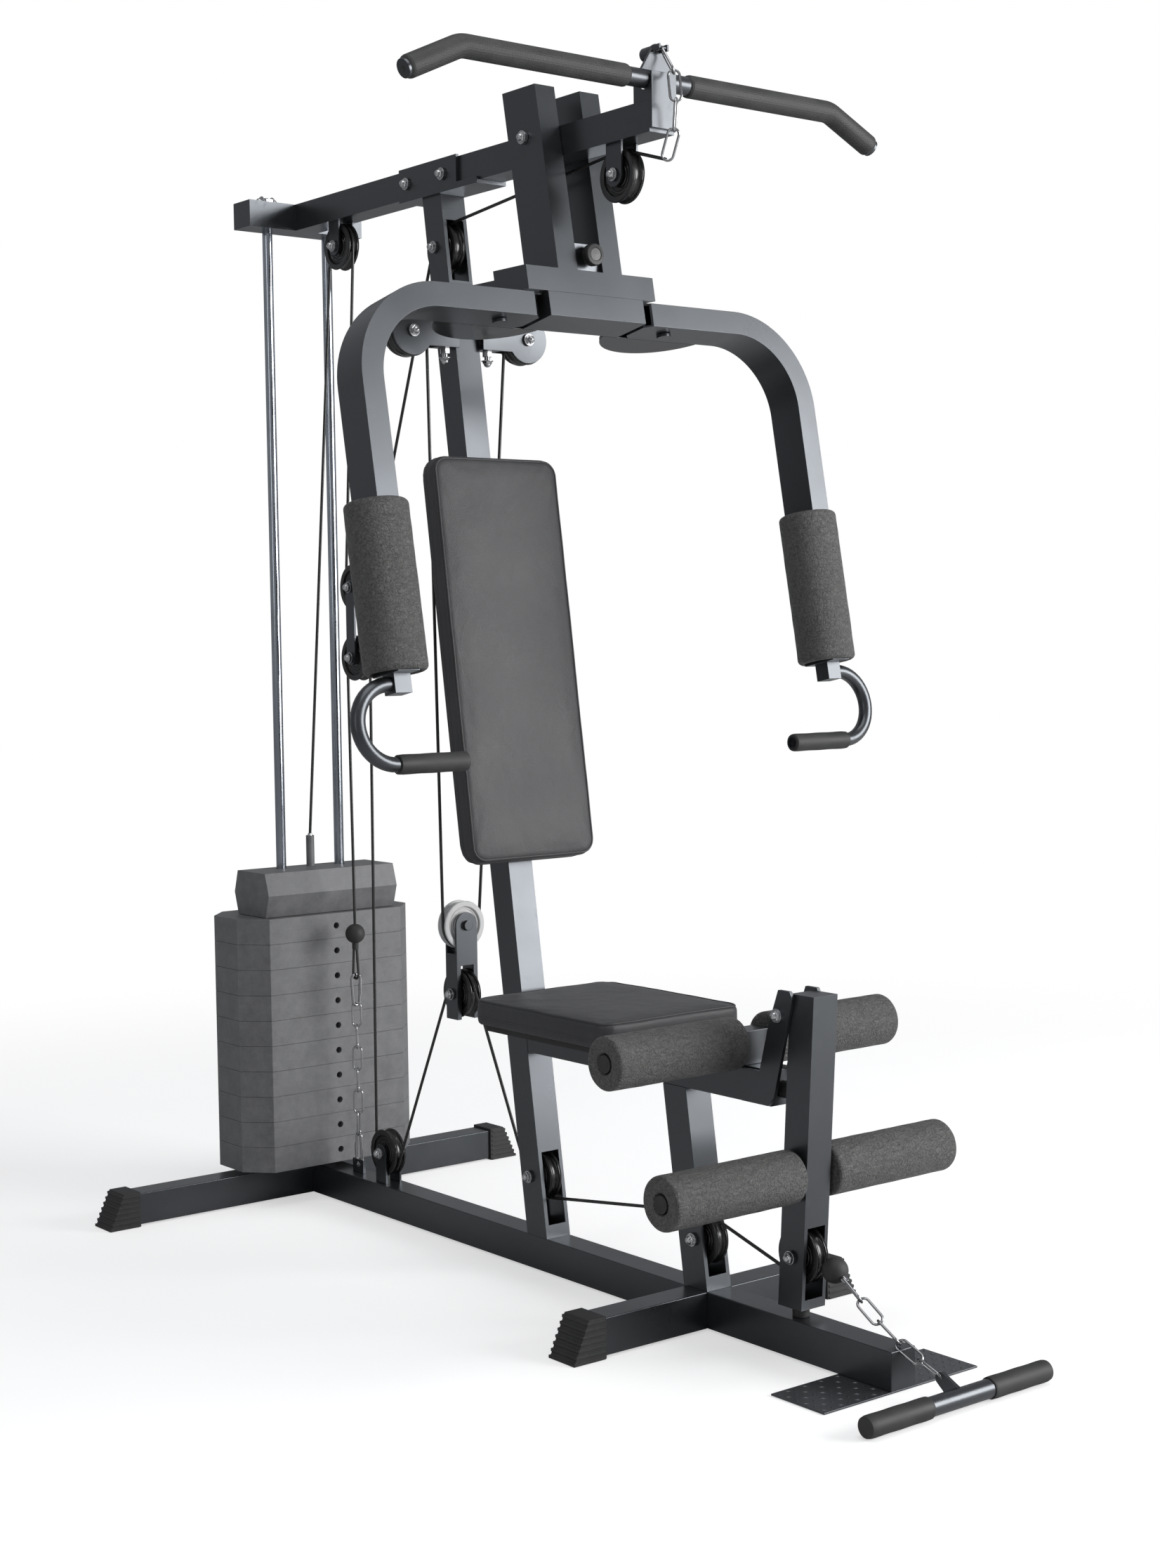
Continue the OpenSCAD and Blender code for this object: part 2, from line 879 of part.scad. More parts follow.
// bracket under the press frame with the pivot pins of both arms
module arm_bracket() {
  color("dimgray")
    hang() {
      difference() {
        box(-bracket_half, bracket_half, bracket_front, bracket_back, bracket_top - bracket_h,
            bracket_top);
        box(-bracket_half + wall, bracket_half - wall, bracket_front + wall, bracket_back - wall,
            bracket_top - bracket_h + wall, bracket_top - wall);
      }
      box(-bridge_half, bridge_half, arm_y - bridge_d / 2 + 8, arm_y + bridge_d / 2, bracket_top,
          bracket_top + bridge_t);
      both_sides() {
        translate([arm_pivot_x, arm_y, arm_top - arm_h - pin_cap])
          cylinder(r = pivot_r, h = arm_h + pin_cap + 2);
        translate([arm_pivot_x, arm_y, arm_top - arm_h - pin_cap])
          cylinder(r = 2 * pivot_r, h = pin_cap - 1);
      }
    }
  // three short tabs join the bracket to the cross bar above it
  color("dimgray")
    difference() {
      hang()
        for (x = [-tab_x, 0, tab_x]) {
          box(x - tab_w, x + tab_w, arm_y - tab_d, arm_y, bracket_top - 1, bracket_top + tab_d);
        }
      box(-tbar_half, tbar_half, -200, 100, tbar_low, swing_low);
    }
}

// outline of a butterfly arm in its own plane, at full section or shrunk by a wall
module arm_outline(w) {
  h = arm_h - 2 * w;
  translate([arm_in + w, arm_mid - h / 2])
    square([arm_x - arm_bend - arm_in - w, h]);
  translate([arm_x - arm_bend, arm_mid - arm_bend])
    intersection() {
      difference() {
        circle(r = arm_bend + h / 2);
        circle(r = arm_bend - h / 2);
      }
      square(2 * arm_bend);
    }
  translate([arm_x - h / 2, arm_drop + w])
    square([h, arm_mid - arm_bend - arm_drop - w]);
}

module arm() {
  difference() {
    translate([0, arm_y, 0])
      rotate([90, 0, 0])
        linear_extrude(height = arm_d, center = true)
          arm_outline(0);
    translate([0, arm_y, 0])
      rotate([90, 0, 0])
        linear_extrude(height = arm_d - 2 * wall, center = true)
          arm_outline(wall);
    translate([arm_pivot_x, arm_y, arm_top - arm_h - 1])
      cylinder(r = pivot_r + slip, h = arm_h + 2);
    // the inner end is trimmed back so it can turn past the bracket
    for (s = [-1, 1]) {
      translate([arm_in, arm_y + s * arm_d / 2, arm_top - arm_h - 1])
        rotate([0, 0, 45])
          translate([-9, -9, 0])
            cube([18, 18, arm_h + 2]);
    }
  }
  box(arm_x - block_w / 2, arm_x + block_w / 2, arm_y - block_w / 2, arm_y + block_w / 2,
      arm_drop - block_w, arm_drop);
}

module arm_right() {
  color("dimgray")
    hang()
      arm();
}

module arm_left() {
  color("dimgray")
    hang()
      mirror([1, 0, 0])
        arm();
}

module foam() {
  w = arm_h + 2 * slip;
  d = arm_d + 2 * slip;
  difference() {
    translate([arm_x, arm_y, foam_top - arm_foam_len])
      cylinder(r = arm_foam_r, h = arm_foam_len);
    box(arm_x - w / 2, arm_x + w / 2, arm_y - d / 2, arm_y + d / 2, foam_top - arm_foam_len - 1,
        foam_top + 1);
  }
}

module foam_right() {
  color("darkslategray")
    hang()
      foam();
}

module foam_left() {
  color("darkslategray")
    hang()
      mirror([1, 0, 0])
        foam();
}

// half round plate on the back of the arm, its lower lip holds the cable on the rim
module cam() {
  z0 = arm_top - arm_h;
  back = arm_y + arm_d / 2 + slip;
  intersection() {
    translate([arm_pivot_x, arm_y, z0]) {
      cylinder(r = cam_r, h = cam_lip, $fn = 96);
      cylinder(r = cam_r - cam_lip_w, h = cam_t, $fn = 96);
    }
    box(arm_pivot_x - 2 * cam_r, arm_pivot_x + 2 * cam_r, back, back + 2 * cam_r, z0 - 1,
        z0 + cam_t + 1);
  }
}

module cam_right() {
  color("gray")
    hang()
      cam();
}

module cam_left() {
  color("gray")
    hang()
      mirror([1, 0, 0])
        cam();
}

// curved handle below the foam: a half circle of tube ending in a grip
module handle() {
  z = arm_drop - block_w / 2;
  translate([arm_x + block_w / 2, arm_y, z])
    rotate([0, 90, 0])
      cylinder(r = hook_tube_r, h = hook_x - arm_x - block_w / 2);
  translate([hook_x, arm_y, z - hook_r])
    rotate([90, 0, 0])
      rotate([0, 0, -90])
        rotate_extrude(angle = 180)
          translate([hook_r, 0])
            circle(r = hook_tube_r);
  translate([hook_x - hook_grip_len, arm_y, z - 2 * hook_r])
    rotate([0, 90, 0])
      cylinder(r = hook_grip_r, h = hook_grip_len);
}

module handle_right() {
  color("silver")
    hang()
      handle();
}

module handle_left() {
  color("silver")
    hang()
      mirror([1, 0, 0])
        handle();
}

// ---------------------------------------------------------------- leg developer
function leg_back(z) = leg_back_low[0]
  + (leg_back_top[0] - leg_back_low[0]) * (z - leg_back_low[1]) / (leg_back_top[1] - leg_back_low[1]);
function leg_shape(z0, z1, w) = [
  [leg_back(z0) - leg_d + w, z0], [leg_back(z0) - w, z0],
  [leg_back(z1) - w, z1], [leg_back(z1) - leg_d + w, z1]
];

module leg_tube() {
  z0 = leg_back_low[1];
  z1 = leg_back_top[1];
  bar_end = roller_in + roller_len - roller_end;
  color("dimgray") {
    difference() {
      union() {
        difference() {
          slab(leg_shape(z0, z1, 0), -leg_half, leg_half);
          slab(leg_shape(z0 + wall, z1 - wall, wall), -leg_half + wall, leg_half - wall);
        }
        cross_rod(leg_pivot, -leg_half, leg_half, leg_bush_r);
      }
      slab(leg_shape(slot_leg[0], slot_leg[1], -wall), -slot_half, slot_half);
      cross_rod(leg_pivot, -half, half, pivot_r + slip);
    }
    cross_rod(roller_low, -bar_end, bar_end, roller_bar_r);
    cross_rod(leg_pulley, -leg_half - nut_h, leg_half + nut_h, axle_r);
    both_sides()
      cross_rod(leg_pulley, leg_half, leg_half + nut_h, nut_r);
  }
}

module roller_pair(c) {
  color("darkslategray")
    both_sides()
      difference() {
        cross_rod(c, roller_in, roller_in + roller_len, roller_r);
        cross_rod(c, roller_in - 1, roller_in + roller_len - roller_end, roller_bore_r);
      }
}

module upper_rollers() {
  roller_pair(roller_up);
}

module lower_rollers() {
  roller_pair(roller_low);
}

// ---------------------------------------------------------------- travelling blocks
module rear_block() {
  color("dimgray") {
    both_sides() {
      box(strap_in, strap_in + strap_t, p_block_hi[0] - strap_half, p_block_hi[0] + strap_half,
          p_block_lo[1], p_block_hi[1]);
      for (c = [p_block_hi, p_block_lo]) {
        cross_rod(c, strap_in, strap_in + strap_t, strap_half);
        cross_rod(c, strap_in + strap_t, strap_in + strap_t + nut_h, nut_r);
      }
    }
    for (c = [p_block_hi, p_block_lo]) {
      cross_rod(c, -strap_in - strap_t, strap_in + strap_t, axle_r);
    }
  }
}

module front_block() {
  y0 = fb_y - fb_d / 2;
  y1 = fb_y + fb_d / 2;
  color("dimgray") {
    difference() {
      union() {
        box(-fb_half, fb_half, y0, y1, fb_bottom, fb_hi);
        rod([0, y0, fb_hi], [0, y1, fb_hi], fb_half);
      }
      box(-2 * fb_half, 2 * fb_half, y0 + strap_t, y1 - strap_t, fb_bridge + fb_bridge_t,
          fb_hi + 2 * fb_half);
      box(-strap_in, strap_in, y0 - 1, y1 + 1, fb_bottom - 1, fb_bridge);
    }
    cross_rod([fb_y, fb_lo], -fb_half - nut_h, fb_half + nut_h, axle_r);
    rod([0, y0 - nut_h, fb_hi], [0, y1 + nut_h, fb_hi], axle_r);
    both_sides()
      cross_rod([fb_y, fb_lo], fb_half, fb_half + nut_h, nut_r);
    rod([0, y0 - nut_h, fb_hi], [0, y0, fb_hi], nut_r);
  }
}

// ---------------------------------------------------------------- bars
module lat_bar() {
  color("dimgray") {
    cross_rod([lat_y, lat_z], -lat_half, lat_half, lat_core_r);
    both_sides() {
      cross_rod([lat_y, lat_z], lat_bare, lat_half, lat_grip_r);
      translate([lat_half, lat_y, lat_z])
        sphere(r = lat_grip_r + eps);
      rod([lat_half, lat_y, lat_z], [lat_half + lat_out, lat_y, lat_z - lat_drop], lat_grip_r);
    }
    translate([0, lat_y + tab_t / 2, 0])
      rotate([90, 0, 0])
        linear_extrude(height = tab_t)
          polygon([
            [-tab_foot, lat_z + 10], [tab_foot, lat_z + 10], [tab_head, lat_z + tab_h],
            [-tab_head, lat_z + tab_h]
          ]);
    rod([0, lat_y, tab_pin[1]], [0, lat_y + 28, tab_pin[1]], 11);
    cross_rod(tab_pin, -9, 9, wire);
    both_sides()
      box(6, 10, tab_pin[0] - 4, lat_y, tab_pin[1] - 5, tab_pin[1] + 5);
  }
}

module row_bar() {
  hole = [row_y + 32, row_z + 20];
  color("dimgray") {
    cross_rod([row_y, row_z], -row_half, row_half, row_core_r);
    both_sides()
      cross_rod([row_y, row_z], row_bare, row_half, grip_r);
    difference() {
      slab([[row_y + 8, row_z - 6], [row_y + 40, row_z + 12], [row_y + 40, row_z + 28],
            [row_y + 28, row_z + 28], [row_y, row_z + 10]], -3, 3);
      cross_rod(hole, -4, 4, 5);
    }
  }
}

// ---------------------------------------------------------------- chains
// one oval link between two joint points in the YZ plane, flat or turned on edge
module link_oval(r, straight) {
  square([2 * r, straight], center = true);
  for (s = [-1, 1]) {
    translate([0, s * straight / 2])
      circle(r = r);
  }
}

module chain_link(p, q, twist) {
  v = q - p;
  straight = norm(v) + 2 * (wire + link_play) - 2 * link_half;
  translate([0, (p[0] + q[0]) / 2, (p[1] + q[1]) / 2])
    rotate([atan2(v[1], v[0]) - 90, 0, 0])
      rotate([0, 0, twist])
        rotate([90, 0, 0])
          linear_extrude(height = 2 * wire, center = true)
            difference() {
              link_oval(link_half + wire, straight);
              link_oval(link_half - wire, straight);
            }
}

module chain(points, first) {
  for (i = [0 : len(points) - 2]) {
    chain_link(points[i], points[i + 1], first + 90 * (i % 2));
  }
}

module ball(c, r) {
  translate([0, c[0], c[1]])
    sphere(r = r);
}

module lat_chain() {
  color("silver")
    chain([
      [tab_pin[0] + 1.2, tab_pin[1] + 1.1], [lat_y - 43, lat_z + 16], [lat_y - 48, lat_z - 32],
      [lat_y - 44, lat_z - 80], [lat_y - 20, lat_z - 122]
    ], 90);
}

module row_chain() {
  eye = [ball_front[0] - ball_r - 3, ball_front[1] + 2];
  last = [row_y + 34.5, row_z + 21.2];
  color("silver") {
    ball(ball_front, ball_r);
    run_rod(ball_front, eye, wire);
    chain([eye, [-720, 126], [-752, 104], [-786, 84], [-820, 66], [-852, 50], last], 90);
  }
}

module anchor_chain() {
  y = ball_rear[0];
  z0 = base_top + 17;
  top = ball_rear[1] - 21;
  hook = 55;
  step = (top - 2 * hook - z0) / 6;
  color("silver") {
    ball(ball_rear, ball_r - 1);
    run_rod(ball_rear, [y, top], wire);
    chain([
      [y, top], [y, top - hook], [y, top - hook - step], [y, top - hook - 2 * step],
      [y, top - hook - 3 * step], [y, top - hook - 4 * step], [y, top - hook - 5 * step],
      [y, top - hook - 6 * step], [y, z0]
    ], 90);
  }
}

// ---------------------------------------------------------------- cables
// angle of the touch normal for a taut run from circle a to circle b with signed radii:
// a positive radius turns the cable clockwise, a negative one anticlockwise
function normal(a, ra, b, rb) = atan2(b[1] - a[1], b[0] - a[0]) + acos((ra - rb) / norm(b - a));
function touch(c, r, n) = [c[0] + r * cos(n), c[1] + r * sin(n)];

module run_rod(a, b, r) {
  rod([0, a[0], a[1]], [0, b[0], b[1]], r);
}

// a taut run of cable, its ends held a little away from the next length
module taut(a, b, gap) {
  u = gap * (b - a) / norm(b - a);
  rod(a + u, b - u, cable_r);
}

module taut_yz(a, b) {
  taut([0, a[0], a[1]], [0, b[0], b[1]], cable_gap);
}

// part of a turn of cable around a pulley centre, from one angle up to another
module wrap(c, from, upto) {
  sweep = (upto - from) - 360 * floor((upto - from) / 360);
  translate([0, c[0], c[1]])
    rotate([90, 0, 90])
      rotate([0, 0, from])
        rotate_extrude(angle = sweep)
          translate([cable_path_r, 0])
            circle(r = cable_r, $fn = 16);
}

// over the front pulley and the window pulley, under the block, over the rear pulley, to the stack
module lat_cable() {
  r = cable_path_r;
  tip = [lat_y - 12, lat_z - 120];
  end = [rod_y, stack_top + eps + head_h + crimp_h + eps];
  n0 = normal(tip, 0, p_front, r);
  n1 = normal(p_front, r, p_window, r);
  n2 = normal(p_window, r, p_block_hi, -r);
  n3 = normal(p_block_hi, -r, p_rear, r);
  n4 = normal(p_rear, r, end, 0);
  taut_yz(tip, touch(p_front, r, n0));
  wrap(p_front, n1, n0);
  taut_yz(touch(p_front, r, n1), touch(p_window, r, n1));
  wrap(p_window, n2, n1);
  taut_yz(touch(p_window, r, n2), touch(p_block_hi, -r, n2));
  wrap(p_block_hi, n2 + 180, n3 + 180);
  taut_yz(touch(p_block_hi, -r, n3), touch(p_rear, r, n3));
  wrap(p_rear, n4, n3);
  taut_yz(touch(p_rear, r, n4), end);
}

// from the anchor over the rear block, under the base pulley, over the front block, then forward
module low_cable() {
  r = cable_path_r;
  fb = [fb_y, fb_lo];
  start = [ball_rear[0], ball_rear[1] + ball_r - 1 + eps];
  stop = [ball_front[0] + ball_r + 3, ball_front[1] + 3];
  n0 = normal(start, 0, p_block_lo, -r);
  n1 = normal(p_block_lo, -r, p_base, r);
  n2 = normal(p_base, r, fb, -r);
  n3 = normal(fb, -r, p_low, r);
  n4 = normal(p_low, r, p_post, -r);
  n5 = normal(p_post, -r, leg_pulley, r);
  n6 = normal(leg_pulley, r, stop, 0);
  taut_yz(start, touch(p_block_lo, -r, n0));
  wrap(p_block_lo, n0 - 180, n1 - 180);
  taut_yz(touch(p_block_lo, -r, n1), touch(p_base, r, n1));
  wrap(p_base, n2, n1);
  taut_yz(touch(p_base, r, n2), touch(fb, -r, n2));
  wrap(fb, n2 - 180, n3 - 180);
  taut_yz(touch(fb, -r, n3), touch(p_low, r, n3));
  wrap(p_low, n4, n3);
  taut_yz(touch(p_low, r, n4), touch(p_post, -r, n4));
  wrap(p_post, n4 - 180, n5 - 180);
  taut_yz(touch(p_post, -r, n5), touch(leg_pulley, r, n5));
  wrap(leg_pulley, n6, n5);
  taut_yz(touch(leg_pulley, r, n6), stop);
}

// up from the front block over both side pulleys to the rims of the cams
module arm_cable() {
  r = cable_path_r;
  translate([0, fb_y, fb_hi])
    rotate([90, 0, 0])
      rotate([0, 0, 180])
        rotate_extrude(angle = 180)
          translate([r, 0])
            circle(r = cable_r, $fn = 16);
  both_sides() {
    taut([r, fb_y, fb_hi], [wing_x - r, wing_y, wing_z], slant_gap);
    translate([wing_x, wing_y, wing_z])
      rotate([90, 0, 0])
        rotate([0, 0, wing_exit])
          rotate_extrude(angle = 180 - wing_exit)
            translate([r, 0])
              circle(r = cable_r, $fn = 16);
    taut(wing_point, cam_point, slant_gap);
    hang()
      translate([arm_pivot_x, arm_y, cam_path_z])
        rotate([0, 0, cam_end])
          rotate_extrude(angle = cam_touch - cam_end)
            translate([cam_path_r, 0])
              circle(r = cable_r, $fn = 16);
  }
}

module cables() {
  color("black") {
    lat_cable();
    low_cable();
    arm_cable();
  }
}

module place() {
  translate([0, place_y, 0])
    children();
}

// ---------------------------------------------------------------- output
place() base_beam();
place() cross_beams();
place() foot_caps();
place() foot_plate();
place() main_upright();
place() seat_post();
place() seat_boom();
place() boom_ears();
place() pad_boards();
place() seat_pad();
place() back_pad();
place() top_boom_rear();
place() top_boom_front();
place() boom_sleeve();
place() guide_rods();
place() rubber_stops();
place() bar_holder();
place() boom_hangers();
place() stop_tube();
place() pulley_wings();
place() base_brackets();
place() upper_roller_bar();
place() frame_bolts();
place() wheel_x(p_front);  // wheel_boom_front
place() wheel_x(p_window);  // wheel_window
place() wheel_x(p_rear);  // wheel_boom_rear
place() wheel_x(p_base);  // wheel_base
place() wheel_x(p_low);  // wheel_upright
place() wheel_x(p_post);  // wheel_seat_post
place() wheel_y([-wing_x, wing_y, wing_z]);  // wheel_wing_left
place() wheel_y([wing_x, wing_y, wing_z]);  // wheel_wing_right
place() upper_rollers();
place() swing_frame();
place() lock_knob();
place() arm_bracket();
place() arm_left();
place() arm_right();
place() foam_left();
place() foam_right();
place() cam_left();
place() cam_right();
place() handle_left();
place() handle_right();
place() leg_tube();
place() lower_rollers();
place() wheel_x(leg_pulley);  // wheel_leg
place() stack_head();
place() weight_plates();
place() rear_block();
place() wheel_x(p_block_hi);  // wheel_rear_upper
place() wheel_x(p_block_lo);  // wheel_rear_lower
place() front_block();
place() wheel_y([0, fb_y, fb_hi]);  // wheel_front_upper
place() wheel_x([fb_y, fb_lo]);  // wheel_front_lower
place() lat_bar();
place() lat_chain();
place() row_bar();
place() row_chain();
place() anchor_chain();
place() cables();
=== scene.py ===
import json
import math

import bmesh
import bpy
import numpy as np
from mathutils import Matrix, Vector, noise
from mathutils.bvhtree import BVHTree

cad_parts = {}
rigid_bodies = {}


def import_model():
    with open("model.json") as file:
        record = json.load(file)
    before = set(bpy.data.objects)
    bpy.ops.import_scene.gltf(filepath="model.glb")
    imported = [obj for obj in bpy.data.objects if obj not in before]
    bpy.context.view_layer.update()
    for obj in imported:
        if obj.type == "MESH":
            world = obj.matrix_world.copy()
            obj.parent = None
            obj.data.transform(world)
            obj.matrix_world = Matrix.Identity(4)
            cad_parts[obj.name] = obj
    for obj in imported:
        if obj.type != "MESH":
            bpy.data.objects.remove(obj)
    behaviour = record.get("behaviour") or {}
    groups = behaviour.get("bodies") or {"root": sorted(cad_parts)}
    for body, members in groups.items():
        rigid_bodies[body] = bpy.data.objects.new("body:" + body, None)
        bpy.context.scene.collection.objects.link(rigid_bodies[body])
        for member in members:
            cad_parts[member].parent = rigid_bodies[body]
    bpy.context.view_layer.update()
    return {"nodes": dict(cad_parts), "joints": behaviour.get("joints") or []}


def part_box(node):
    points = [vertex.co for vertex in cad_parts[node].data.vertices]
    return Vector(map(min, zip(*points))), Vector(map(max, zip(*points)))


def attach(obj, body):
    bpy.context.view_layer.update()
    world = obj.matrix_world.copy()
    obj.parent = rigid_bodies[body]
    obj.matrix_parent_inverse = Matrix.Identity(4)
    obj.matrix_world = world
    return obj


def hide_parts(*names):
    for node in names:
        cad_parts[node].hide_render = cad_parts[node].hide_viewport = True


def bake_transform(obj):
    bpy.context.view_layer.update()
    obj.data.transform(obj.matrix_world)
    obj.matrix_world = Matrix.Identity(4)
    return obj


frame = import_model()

joints = {j["name"]: j for j in frame["joints"]}
scene = bpy.context.scene


# ------------------------------------------------------------------ materials
class Graph:
    """A small helper that builds one node material."""

    def __init__(self, name):
        self.mat = bpy.data.materials.new(name)
        self.mat.use_nodes = True
        self.tree = self.mat.node_tree
        self.bsdf = self.tree.nodes["Principled BSDF"]
        self.coord = self.tree.nodes.new("ShaderNodeTexCoord").outputs["Object"]

    def node(self, kind, inputs=None, **props):
        n = self.tree.nodes.new("ShaderNode" + kind)
        for k, v in props.items():
            setattr(n, k, v)
        for k, v in (inputs or {}).items():
            self.put(n.inputs[k], v)
        return n

    def put(self, socket, value):
        if isinstance(value, bpy.types.NodeSocket):
            self.tree.links.new(value, socket)
        else:
            socket.default_value = value

    def set(self, **values):
        for k, v in values.items():
            self.put(self.bsdf.inputs[k.replace("_", " ")], v)

    def noise(self, scale, detail=3.0, rough=0.5, vector=None, distortion=0.0):
        n = self.node("TexNoise", {"Vector": vector or self.coord, "Scale": scale, "Detail": detail,
                                   "Roughness": rough, "Distortion": distortion})
        return n.outputs["Fac"]

    def cells(self, scale, feature="F1", rand=1.0, vector=None, smooth=None):
        n = self.node("TexVoronoi", {"Vector": vector or self.coord, "Scale": scale,
                                     "Randomness": rand}, feature=feature)
        if smooth is not None:
            n.inputs["Smoothness"].default_value = smooth
        return n.outputs["Distance"]

    def stretch(self, scale):
        return self.node("Mapping", {"Vector": self.coord, "Scale": scale}).outputs["Vector"]

    def ramp(self, fac, low, high, to_low=0.0, to_high=1.0, smooth=False):
        n = self.node("MapRange", {"Value": fac, "From Min": low, "From Max": high,
                                   "To Min": to_low, "To Max": to_high})
        if smooth:
            n.interpolation_type = "SMOOTHSTEP"
        return n.outputs["Result"]

    def math(self, op, a, b=0.0):
        n = self.node("Math", operation=op)
        self.put(n.inputs[0], a)
        self.put(n.inputs[1], b)
        return n.outputs[0]

    def mix(self, fac, a, b):
        n = self.node("Mix", data_type="RGBA")
        for socket, value in ((n.inputs[0], fac), (n.inputs[6], a), (n.inputs[7], b)):
            self.put(socket, value)
        return n.outputs[2]

    def bump(self, height, distance, strength=1.0, normal=None):
        n = self.node("Bump", {"Height": height, "Distance": distance, "Strength": strength})
        if normal is not None:
            self.put(n.inputs["Normal"], normal)
        return n.outputs["Normal"]


def rgb(r, g=None, b=None):
    return (r, r if g is None else g, r if b is None else b, 1.0)


def paint(name, base, rough=0.31, peel=0.00005):
    """Powder coat: fine orange peel, cloudy sheen, faint dust and rubbed patches."""
    g = Graph(name)
    cloud = g.noise(5.0, 4.0, 0.6)
    fine = g.noise(420.0, 2.0, 0.6)
    rub = g.ramp(g.noise(26.0, 6.0, 0.7), 0.56, 0.78, 0, 1, True)
    tint = [min(1.0, c * 1.5 + 0.004) for c in base[:3]] + [1]
    color = g.mix(g.ramp(cloud, 0.3, 0.75, 0.0, 0.55), base, tint)
    g.set(Base_Color=g.mix(g.math("MULTIPLY", rub, 0.12), color, rgb(0.09, 0.09, 0.095)),
          Metallic=0.1, Specular_IOR_Level=0.95, Specular_Tint=rgb(0.84, 0.91, 1.0),
          Roughness=g.math("ADD", g.ramp(cloud, 0.3, 0.7, rough - 0.05, rough + 0.06),
                           g.math("MULTIPLY", rub, 0.08)),
          Normal=g.bump(fine, peel, 0.6),
          Coat_Weight=0.35, Coat_Roughness=0.3)
    return g.mat


def leatherette(name):
    """Black grained upholstery: small pebble cells, soft creases, worn sheen."""
    g = Graph(name)
    pebble = g.cells(620.0, "SMOOTH_F1", 1.0, smooth=0.35)
    crease = g.noise(12.0, 4.0, 0.62, g.stretch((1.0, 1.0, 0.6)), 0.6)
    line = g.cells(260.0, "DISTANCE_TO_EDGE")
    soft = g.bump(crease, 0.0035, 0.55)
    normal = g.bump(pebble, 0.00022, 0.8, soft)
    normal = g.bump(g.ramp(line, 0.0, 0.12, 0, 1), 0.00008, 0.5, normal)
    worn = g.noise(7.0, 3.0, 0.6)
    g.set(Base_Color=g.mix(g.ramp(worn, 0.35, 0.7), rgb(0.036, 0.036, 0.038), rgb(0.050, 0.050, 0.053)),
          Roughness=g.math("ADD", g.ramp(worn, 0.3, 0.7, 0.5, 0.58), g.ramp(pebble, 0, 0.6, 0.05, -0.04)),
          Normal=normal, Specular_IOR_Level=0.42, Sheen_Weight=0.06, Sheen_Roughness=0.4)
    return g.mat


def pebbled_foam(name):
    """Grey closed-cell foam with its cracked, pebbled skin; painted shade darkens the cracks and painted
    highlight lightens the raised lumps.
    """
    g = Graph(name)
    vec = g.node("VectorMath", {0: g.coord}, operation="ADD")
    shift = g.node("VectorMath", operation="SCALE")
    warp = g.node("TexNoise", {"Vector": g.coord, "Scale": 70.0, "Detail": 3.0})
    g.put(shift.inputs[0], warp.outputs["Color"])
    g.put(shift.inputs["Scale"], 0.02)
    g.put(vec.inputs[1], shift.outputs[0])
    # crack mask: sinks the cracks in the bump and also paints shade into them
    crack_and_painted_shade = g.ramp(g.cells(190.0, "DISTANCE_TO_EDGE", 1.0, vec.outputs[0]), 0.0, 0.22, 0, 1, True)
    lump_and_painted_highlight = g.noise(1.0, 6.0, 0.7, g.stretch((90.0, 170.0, 170.0)), 0.8)
    grit = g.noise(700.0, 3.0, 0.7)
    normal = g.bump(lump_and_painted_highlight, 0.0044, 1.0)
    normal = g.bump(crack_and_painted_shade, 0.0008, 0.8, normal)
    normal = g.bump(grit, 0.0003, 0.55, normal)
    # painted shade: the crack lines are coloured darker, as if shade lay in them
    painted_crack_shade = g.mix(crack_and_painted_shade, rgb(0.062, 0.061, 0.059), rgb(0.116, 0.114, 0.111))
    # painted highlight: the raised lumps are coloured lighter, as if lit on top
    g.set(Base_Color=g.mix(g.ramp(lump_and_painted_highlight, 0.42, 0.66, 0, 0.55), painted_crack_shade, rgb(0.172, 0.170, 0.166)),
          Roughness=g.ramp(lump_and_painted_highlight, 0.35, 0.7, 0.56, 0.34), Normal=normal, Specular_IOR_Level=0.5)
    return g.mat


def rubber(name, base=0.022, ribs=None):
    """Moulded rubber: matt, with fine speckle and pale patches of dust."""
    g = Graph(name)
    speck = g.noise(900.0, 2.0, 0.6)
    cloud = g.noise(14.0, 4.0, 0.6)
    normal = g.bump(speck, 0.0001, 0.7)
    if ribs:
        normal = g.bump(g.cells(ribs, "SMOOTH_F1", 0.25, smooth=0.2), 0.0006, 0.8, normal)
    g.set(Base_Color=g.mix(g.ramp(cloud, 0.35, 0.7), rgb(base), rgb(base * 1.9)),
          Roughness=g.ramp(cloud, 0.3, 0.7, 0.52, 0.66), Normal=normal, Specular_IOR_Level=0.45)
    return g.mat


def metal(name, base, rough, streak=0.05, scale=(300.0, 300.0, 4.0)):
    """Plated metal: drawn streaks, faint smudges, tiny pits."""
    g = Graph(name)
    draw = g.noise(1.0, 3.0, 0.6, g.stretch(scale))
    smudge = g.noise(18.0, 4.0, 0.6)
    g.set(Base_Color=g.mix(g.ramp(smudge, 0.35, 0.7), rgb(*base), rgb(*[c * 0.82 for c in base])),
          Metallic=1.0,
          Roughness=g.math("ADD", g.ramp(smudge, 0.3, 0.7, rough, rough + 0.08),
                           g.math("MULTIPLY", draw, streak)),
          Normal=g.bump(draw, 0.00004, 0.35))
    return g.mat


